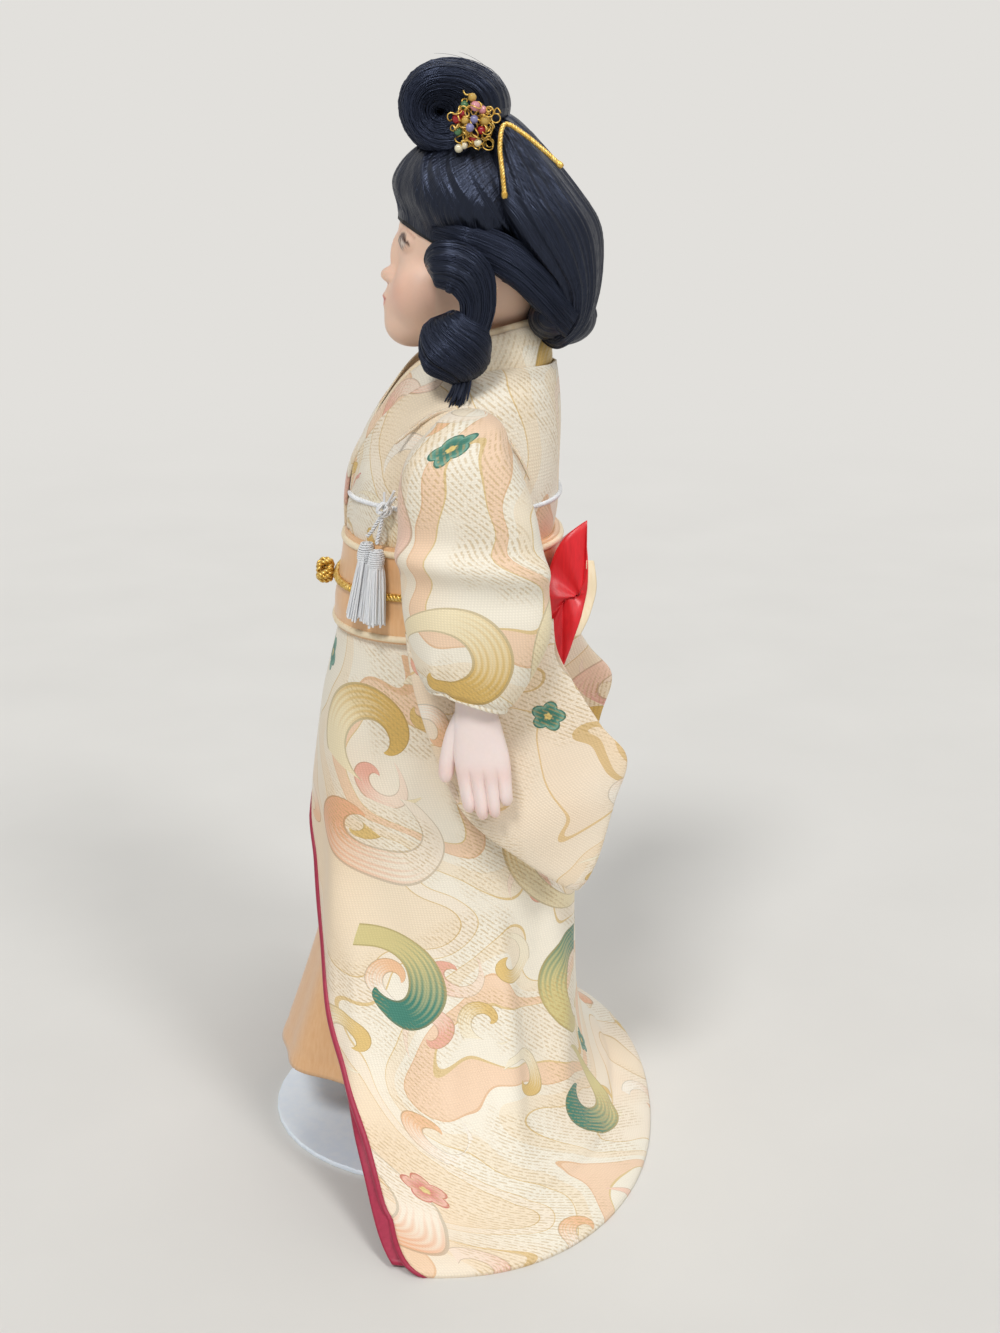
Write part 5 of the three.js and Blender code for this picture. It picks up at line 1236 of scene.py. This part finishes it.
# %% Forearms and hands
for side, name in SIDES:
    hand = grid_mesh(np.array(hand_rows) * (side, 1, 1), True)
    extra = bpy.data.meshes.new("thumb")
    thumb = grid_mesh(np.array(thumb_rows) * (side, 1, 1), True)
    thumb.to_mesh(extra)
    thumb.free()
    hand.from_mesh(extra)
    bpy.data.meshes.remove(extra)
    bmesh.ops.recalc_face_normals(hand, faces=hand.faces)
    tall = points_of(hand)[:, 2]
    painted_on(hand, [
        (0.85, "#FAEAE6"), (0.21 * hill(tall, 162, 4), "#E8AC98"), (0.24 * hill(tall, 146, 5), "#E7A695"),
    ])
    piece(f"{name}_forearm", hand, bisque, f"{name}_arm")
    print(name, "hand painted")

# %% [markdown]
# ## The wig
# Black synthetic hair is combed over pads and pinned: a dome over the brow, a coil on top, a long fall that
# is tucked under at the nape, and a curl with a ringlet at each temple. Hair could be grown as a hair system,
# but a dressed wig is a set of smooth masses, so each mass is a surface whose rows follow the combing.
# Streaks in its finish follow the rows too, and a few thousand single strands on top break its edge against
# the light. The strands are painted paler than the hair under them, a painted highlight.

# %% Hair finish
# Synthetic hair: black and glossy, each fibre a thin mirror, so highlights break into streaks
HAIR_GLOSS = {"Roughness": 0.31, "IOR": 1.55, "Specular Tint": linear("#C2D2FF")}
hair, tree, shader = start_material("black_synthetic_hair", {**HAIR_GLOSS, "Anisotropic": 0.75})
place = coordinates(tree, "UV")
fine, locks = [
    noise(tree, add_node(tree, "ShaderNodeMapping", {"Vector": place, "Scale": stretch}), 1.0, 2.0)
    for stretch in ((1700.0, 30.0, 1.0), (620.0, 12.0, 1.0))
]
tint = ramp(tree, fine, (0.35, "#020203"), (0.55, "#050609"), (0.72, "#0F1219"))
dress(tree, shader, tint, maths(tree, "MULTIPLY_ADD", locks, 1.3, fine), 0.6, 0.0006)
# The surfaces' first texture coordinate runs across the combing, and so does the spread of the shine
tree.links.new(add_node(tree, "ShaderNodeTangent", direction_type="UV_MAP"), shader.inputs["Tangent"])
# The strands are painted a paler blue-grey than the black hair, a painted highlight so that they read as
# shine
sheen_painted_strands = start_material("black_strands_painted_paler_for_sheen", {**HAIR_GLOSS, "Base Color": linear("#1B1F2B")})[0]
print("hair has", len(tree.nodes), "nodes")


# %% Strands and ridges
def between_points(surface, row, column):
    """Places on a surface at rows and columns that may lie between its points."""
    r = np.clip(row.astype(int), 0, len(surface) - 2)
    c = np.clip(column.astype(int), 0, surface.shape[1] - 2)
    a, b = (row - r)[:, None], (column - c)[:, None]
    upper = surface[r, c] * (1 - b) + surface[r, c + 1] * b
    lower = surface[r + 1, c] * (1 - b) + surface[r + 1, c + 1] * b
    return upper * (1 - a) + lower * a


def strands_on(surface, count, seed, lift, length=(0.35, 0.9), free=0.0):
    """Paths of single strands along a surface's rows, a little above it; free lifts their ends off."""
    random = np.random.default_rng(seed)
    surface = np.array(surface, float)
    rows, columns = surface.shape[:2]
    faces_out = outward(surface, False)
    t = np.linspace(0, 1, 14)
    paths = []
    for _ in range(count):
        span = random.uniform(*length)
        start = random.uniform(0, 1 - span)
        row = (start + span * t) * (rows - 1)
        sway = random.normal(0, 0.012, 2) * columns
        column = random.uniform(1, columns - 2) + sway[0] * t + sway[1] * np.sin(3 * t)
        column = np.clip(column, 0, columns - 1)
        raised = random.uniform(0.1, 1.0) * lift * np.sin(0.15 + (math.pi - 0.3) * t) + free * t**2
        faces = between_points(faces_out, row, column)
        paths.append(between_points(surface, row, column) + faces * raised[:, None])
    return paths


def hair_strands(name, paths, side=1, radius=0.17):
    """A piece of many single strands, mirrored for the right side."""
    threads(name, [path * (side, 1, 1) for path in paths], radius, sheen_painted_strands, "head", sides=0, ends=0.3)


def combed_ridges(surface, seed, amount, waves):
    """Adds shallow ridges along the combing, uneven from lock to lock."""
    column = np.linspace(0, 1, surface.shape[1])[None, :]
    row = np.linspace(0, 1, surface.shape[0])[:, None]
    return swell(surface, amount * wobble(waves * 6.3 * column, 1.5 * row, seed))


print("hair helpers ready")

# %% Coil on top
COIL_MIDDLE, COIL_HALF = (10.2, 384.4), (19.0, 16.0)
COIL_PROFILE = [(0.3, 0.02), (8.5, 0.08), (11.5, 0.2), (14.5, 0.36), (17.2, 0.53), (18.4, 0.70), (16.8, 0.86),
                (10, 0.975)]
mirrored = [(-x, share) for x, share in COIL_PROFILE[::-1]]
coil_x, coil_share = through([*COIL_PROFILE, (0, 1.0), *mirrored], 130).T
wind = np.linspace(0, 2 * math.pi, 141)[:, None]
reach = coil_share * (1 + 0.025 * np.sin(3 * wind + 1))
coil = combed_ridges(xyz(
    coil_x,
    COIL_MIDDLE[0] - 5.5 * (1 - coil_share) + COIL_HALF[0] * reach * np.cos(wind),
    COIL_MIDDLE[1] - 1.5 * (1 - coil_share) + COIL_HALF[1] * reach * np.sin(wind),
), 3, 0.3, 14)
cloth("hair_bun", coil, hair, "head")
hair_strands("coil_strands", strands_on(coil, 560, 11, 0.5))

# %% Dome over the brow
# Strands start at the coil, run down over the pad and turn back along the hairline to the ears
DOME_MIDDLE, DOME_HALF = np.array([0, 16, 352]), np.array([31, 29.2, 25])
SKULL_MIDDLE, SKULL_HALF = np.array([0, 18, 338]), np.array([24.3, 28.8, 31.8])
RIM_TURNS, RIM_HEIGHTS = [0, 0.5, 1.0, 1.45, 1.9, 2.4, math.pi], [348, 347, 341.5, 336, 332, 328, 326]
down = np.linspace(0.1, 1, 110)[:, None]
start_turn = np.linspace(-math.pi, math.pi, 221)[None, :]
around = start_turn + 0.75 * np.sin(start_turn) * ease(down, 0.35, 1.0)
rim = np.interp(np.abs(around), RIM_TURNS, RIM_HEIGHTS)
angle = down * np.arccos(np.clip((rim - DOME_MIDDLE[2]) / DOME_HALF[2], -1, 1))
ball = xyz(np.sin(angle) * np.sin(around), -np.sin(angle) * np.cos(around), np.cos(angle))
dome = ball * DOME_HALF + DOME_MIDDLE
flat_share = np.sqrt(np.clip(1 - ((dome[..., 2] - SKULL_MIDDLE[2]) / SKULL_HALF[2]) ** 2, 0.02, 1))
hairline = np.stack([
    SKULL_HALF[0] * flat_share * np.sin(around),
    SKULL_MIDDLE[1] - SKULL_HALF[1] * flat_share * np.cos(around),
], axis=2)
tucked_in = (ease(down, 0.62, 1.04) ** 1.6)[..., None]
dome[..., :2] = dome[..., :2] * (1 - tucked_in) + hairline * tucked_in
dome = combed_ridges(dome, 5, 0.38, 24)
cloth("hair_crown", dome, hair, "head", looped=True, turned=True)
hair_strands("dome_strands", strands_on(dome[:, 12:-12], 900, 12, 0.5))

# %% Fall to the nape
FALL = [  # the middle's y and z, and the left edge's x, y and z
    (18, 384, 10, 20, 380), (30, 381.5, 20, 24.5, 375), (42, 370.5, 27, 26.5, 365), (54, 356.5, 31, 29, 354),
    (60.5, 346.5, 32, 35, 343.5), (62, 336, 31, 42, 334), (60.8, 322, 28, 48, 325), (56.5, 310, 24, 49, 316),
    (47.5, 302.5, 19, 44.5, 309), (41, 305, 14, 41, 309), (38.5, 312, 12, 39, 312),
]
half_turn = np.linspace(-1, 1, 161) * math.pi / 2
hook = np.linspace(0, 1, 13)[1:]
slip = -0.16 * np.sin(hook * 1.8)
under = 1 - 0.28 * hook**1.5
arch = np.concatenate([slip[::-1], bent(np.cos(half_turn), 0.85), slip])
wide = np.concatenate([-under[::-1], bent(np.sin(half_turn), 0.8), under])
fall_rings = [
    xyz(edge_x * wide, edge_y + (y - edge_y) * arch, edge_z + (z - edge_z) * arch)
    for y, z, edge_x, edge_y, edge_z in FALL
]
fall = combed_ridges(through(fall_rings, 150), 8, 0.45, 20)
cloth("hair_back", fall, hair, "head", turned=True)
hair_strands("fall_strands", strands_on(fall[:128], 850, 13, -0.55))

# %% Roll at the nape
share = np.linspace(-1, 1, 81)[None, :]
wind = np.linspace(0, 2 * math.pi, 101)[:, None]
plump = np.sqrt(np.maximum(1 - share**2, 0.0004)) ** 0.8
nape = combed_ridges(xyz(
    25 * share,
    48 - 5 * share**2 + 12.2 * plump * np.cos(wind),
    313 + 3 * share**2 + 9.6 * plump * np.sin(wind),
), 27, 0.4, 14)
cloth("nape_roll", nape, hair, "head")
hair_strands("nape_strands", strands_on(nape, 260, 19, 0.5))

# %% Sweep from the temples to the nape
lower = along_path([
    (20.5, 4, 339.5), (24.6, 13, 335), (26, 22, 331), (26.5, 31, 325), (25, 40, 316), (20, 48, 307),
], 90)
upper = along_path([
    (19, 2, 349), (26, 11, 349), (28, 22, 346), (28, 33, 341), (27, 44, 332), (23, 54, 319),
], 90)
share = np.linspace(0, 1, 61)[None, :, None]
sweep = lower[:, None] * (1 - share) + upper[:, None] * share
sweep[..., 0] += 3.4 * np.sin(share[..., 0] * math.pi) ** 0.8 - 2.5 * (1 - ease(share[..., 0], 0, 0.15))
sweep = combed_ridges(sweep, 15, 0.4, 9)
for side, name in SIDES:
    cloth(f"{name}_hair_sweep", sweep * (side, 1, 1), hair, "head", turned=side > 0)
    hair_strands(f"{name}_sweep_strands", strands_on(sweep, 240, 14, -0.5), side)

# %% Curl and ringlet forms
LOCK = np.array([  # x, y, z and the half width of the lock
    (28.5, 1.2, 333.0, 7.5), (31, 3.5, 333.6, 8.2), (33, 9.5, 333.8, 8.4), (34, 15.5, 330.5, 7.6),
    (35, 18.4, 323.5, 5.8), (35.5, 17.8, 316.5, 5.2), (36, 14, 311, 6.5), (36, 9.5, 308, 8.5),
])
LOCK_ROWS = 110
RINGLET, RINGLET_HALF = np.array([36, 10.8, 307]), np.array([10, 12.2, 12])
OUTWARDS = np.array([1, 0, 0])
line = along_path(LOCK[:, :3], LOCK_ROWS)
wide = np.interp(np.linspace(0, 1, LOCK_ROWS), np.linspace(0, 1, len(LOCK)), LOCK[:, 3])
ended = np.clip(np.arange(LOCK_ROWS) / 8, 0, 1)
wide = (wide * np.sqrt(ended * (2 - ended) + 0.002))[:, None, None]
across = np.cross(unit(np.gradient(line, axis=0)), OUTWARDS)
a = np.linspace(-math.pi, math.pi, 101)[None, :, None]
lock = line[:, None] + across[:, None] * np.cos(a) * wide + OUTWARDS * np.sin(a) * (wide * 0.7)
lock = combed_ridges(lock, 22, 0.32, 14)
v = np.linspace(0.02, math.pi - 0.02, 100)[:, None]
u = np.linspace(-math.pi, math.pi, 141)[None, :] + 1.3 * v
ball = xyz(np.sin(v) * np.cos(u), np.sin(v) * np.sin(u), np.cos(v))
ball = ball * (1 + 0.03 * np.sin(2 * u + 5 * v))[..., None] * RINGLET_HALF + RINGLET
ball = combed_ridges(ball, 25, 0.22, 16)
random = np.random.default_rng(31)
tail = []
for _ in range(40):
    off = random.normal(0, 1, 3) * (1.3, 1.7, 0.8)
    tip = np.array([0.8, 0.2, -18.5]) + off * (1, 1.1, 2.0)
    tail.append(along_path([
        RINGLET + (0, 2.4, -8) + off, RINGLET + (0.5, 2.2, -13) + off * 0.8, RINGLET + tip,
    ], 12))
curl_strands = strands_on(lock, 170, 17, -0.5) + strands_on(ball, 230, 18, -0.5)
print("curl", lock.shape, "ringlet", ball.shape)

# %% Curls and ringlets
for side, name in SIDES:
    for part, surface in (("side_curl", lock), ("ringlet", ball)):
        cloth(f"{name}_{part}", surface * (side, 1, 1), hair, "head", looped=True, turned=side > 0)
    hair_strands(f"{name}_curl_strands", curl_strands, side)
    tail_paths = [path * (side, 1, 1) for path in tail]
    threads(f"{name}_ringlet_tail", tail_paths, 0.5, sheen_painted_strands, "head", ends=0.15)

# %% Loose strands
flyaway = []
for surface, count, seed, lift, length, free in [
    (coil, 26, 41, 0.5, (0.08, 0.2), 3.0), (dome[:, 30:-30], 16, 42, 0.5, (0.2, 0.4), 2.5),
    (fall[:120], 40, 43, -0.5, (0.15, 0.35), -3.5), (nape, 16, 44, 0.5, (0.08, 0.2), 3.0),
]:
    flyaway += strands_on(surface, count, seed, lift, length, free)
hair_strands("flyaway_hair", flyaway, radius=0.055)

# %% [markdown]
# ## Flowers in the hair
# A little spray of gold lace and glass beads hides the pin at the coil. The lace is made of wire loops, and
# the beads are spheres in a few colours.

# %% Flowers
# Glass beads: clear colour and a sharp shine
beads = painted_finish("glass_beads", {"Roughness": 0.12}, 1500.0, 2.0, (0.8, 1.15))
SPRAY = np.array([22.5, 16.6, 380.0])
BEADS = {
    "#A51E28": [(1.5, 3.2, -2.5), (0.6, -4.8, 1.2), (1.0, -3.2, 3.0), (0.4, 0.6, -5.2)],
    "#D8929A": [(2.2, 1.2, 5.2), (1.2, 3.6, 4.0)],
    "#8A86B0": [(2.8, -0.6, -1.6), (2.2, 0.8, 1.0)],
    "#E9DFC0": [(1.0, -2.6, -7.4), (0.6, -4.4, -8.4), (1.4, 2.0, -6.6)],
    "#4E7A52": [(1.0, -2.4, 5.6), (0.8, -4.6, -3.0)],
    "#C9A450": [(1.8, -2.2, 0.6), (1.6, 4.4, 0.6), (1.4, 0.2, 8.0)],
}
random = np.random.default_rng(8)
spray = bmesh.new()
tints = []
for colour, spots in BEADS.items():
    for spot in spots:
        made = bmesh.ops.create_icosphere(spray, subdivisions=2, radius=random.uniform(1.25, 1.8) * MM,
                                          matrix=Matrix.Translation((SPRAY + spot) * MM))
        tints += [linear(colour)] * len(made["verts"])
paint_points(spray, tints)
piece("ornament_flowers", spray, beads, "head")
a = np.linspace(0, 2 * math.pi, 20)
lace = []
for _ in range(80):
    spot = SPRAY + random.normal(0, 1, 3) * (0.7, 3.4, 4.4) + (0.6, 0, 0)
    size = random.uniform(0.9, 2.0)
    turned = np.array(Matrix.Rotation(random.uniform(0, 3), 3, Vector(random.normal(0, 1, 3))))
    lace.append(xyz(0.4 * np.sin(2 * a), size * np.cos(a), size * np.sin(a)) @ turned.T + spot)
threads("ornament_lace", lace, 0.26, gold_braid, "head", sides=0)

# %% [markdown]
# ## Stuffed body, stand and hidden hardware
# Under the clothes are a stuffed muslin torso, thighs and upper arms, porcelain lower legs, and a steel clip
# on a rod that slides in the stand's tube. The stuffed pieces are copies of the solids with merged points and
# smooth shading, since stuffing rounds every edge. The stand keeps the exact solid and gets its enamel.

# %% Stuffed pieces
for node in ("torso", "left_upper_leg", "right_upper_leg", "left_upper_arm", "right_upper_arm"):
    stuffed = bmesh.new()
    stuffed.from_mesh(nodes[node].data)
    bmesh.ops.remove_doubles(stuffed, verts=stuffed.verts, dist=1e-5)
    made = piece(f"{node}_stuffed", stuffed, plain["cotton_muslin"], nodes[node]["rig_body"], stands_for=node)
    print(made.name, "is padded")

# %% Hard finishes
# Powder-coated sheet is even and softly shiny; drawn steel wire is bright with fine lines; board is matt pulp
for name, dark, pale, metallic, rough, scale, members in [
    ("white_enamel_on_sheet_steel", "#EAF4FE", "#F0F8FF", 0.0, 0.28, 300.0, ["stand_base", "stand_post"]),
    ("drawn_steel_wire", "#8E9196", "#B4B7BB", 1.0, 0.34, 900.0, [
        "post_screw", "stand_rod", "waist_clip", "arm_wire", "neck_spring", "neck_washer", "neck_nut",
        "neck_bolt",
    ]),
    ("black_net_on_card", "#0B0B0E", "#17181D", 0.0, 0.7, 500.0, ["pate", "wig_cap"]),
    ("plain_bisque", "#ECC3AB", "#F2CBB4", 0.0, 0.46, 700.0, [
        "shoulder_plate", "left_lower_leg", "right_lower_leg",
    ]),
]:
    sockets = {"Metallic": metallic, "Roughness": rough}
    finish = speckled(name, sockets, [(0.35, dark), (0.65, pale)], scale, 0.06)
    for node in members:
        nodes[node].data.materials.clear()
        nodes[node].data.materials.append(finish)
        print(node, "is", name)

# %% [markdown]
# ## Soft pieces and the finish
# The loose cloths are listed with the width of the flat piece that each is cut from, how it hangs and what it
# rests on, and the last cell prints the flat size of each.


# %% Cloths
def flat_area(made):
    """The area of one layer of a cloth piece, in square metres."""
    return sum(face.area for face in made.data.polygons)


sheets = [
    (kimono_skirt, 0.40, "draped", ["obi", "under_kimono"]),
    (kimono_lining, 0.36, "draped", ["under_kimono"]),
    (under_kimono, 0.34, "hung", ["torso_stuffed"]),
    (kimono_bodice, 0.22, "draped", ["torso_stuffed"]),
    (obi, 0.28, "draped", ["kimono_bodice"]),
    (kimono_collar, 0.26, "draped", ["kimono_bodice"]),
]
for name, pair in sleeves.items():
    sheets += [(made, 0.12, "hung", [f"{name}_upper_arm_stuffed"]) for made in pair]
sheets += [(made, 0.05, "draped", ["obi"]) for made in bow_wings]
sheets.append((under_collar, 0.2, "draped", ["kimono_bodice"]))
for made, width, held, rests in sheets:
    length = flat_area(made) / width
    print(made.name, "flat", round(width * 1000), "by", round(length * 1000), "mm")
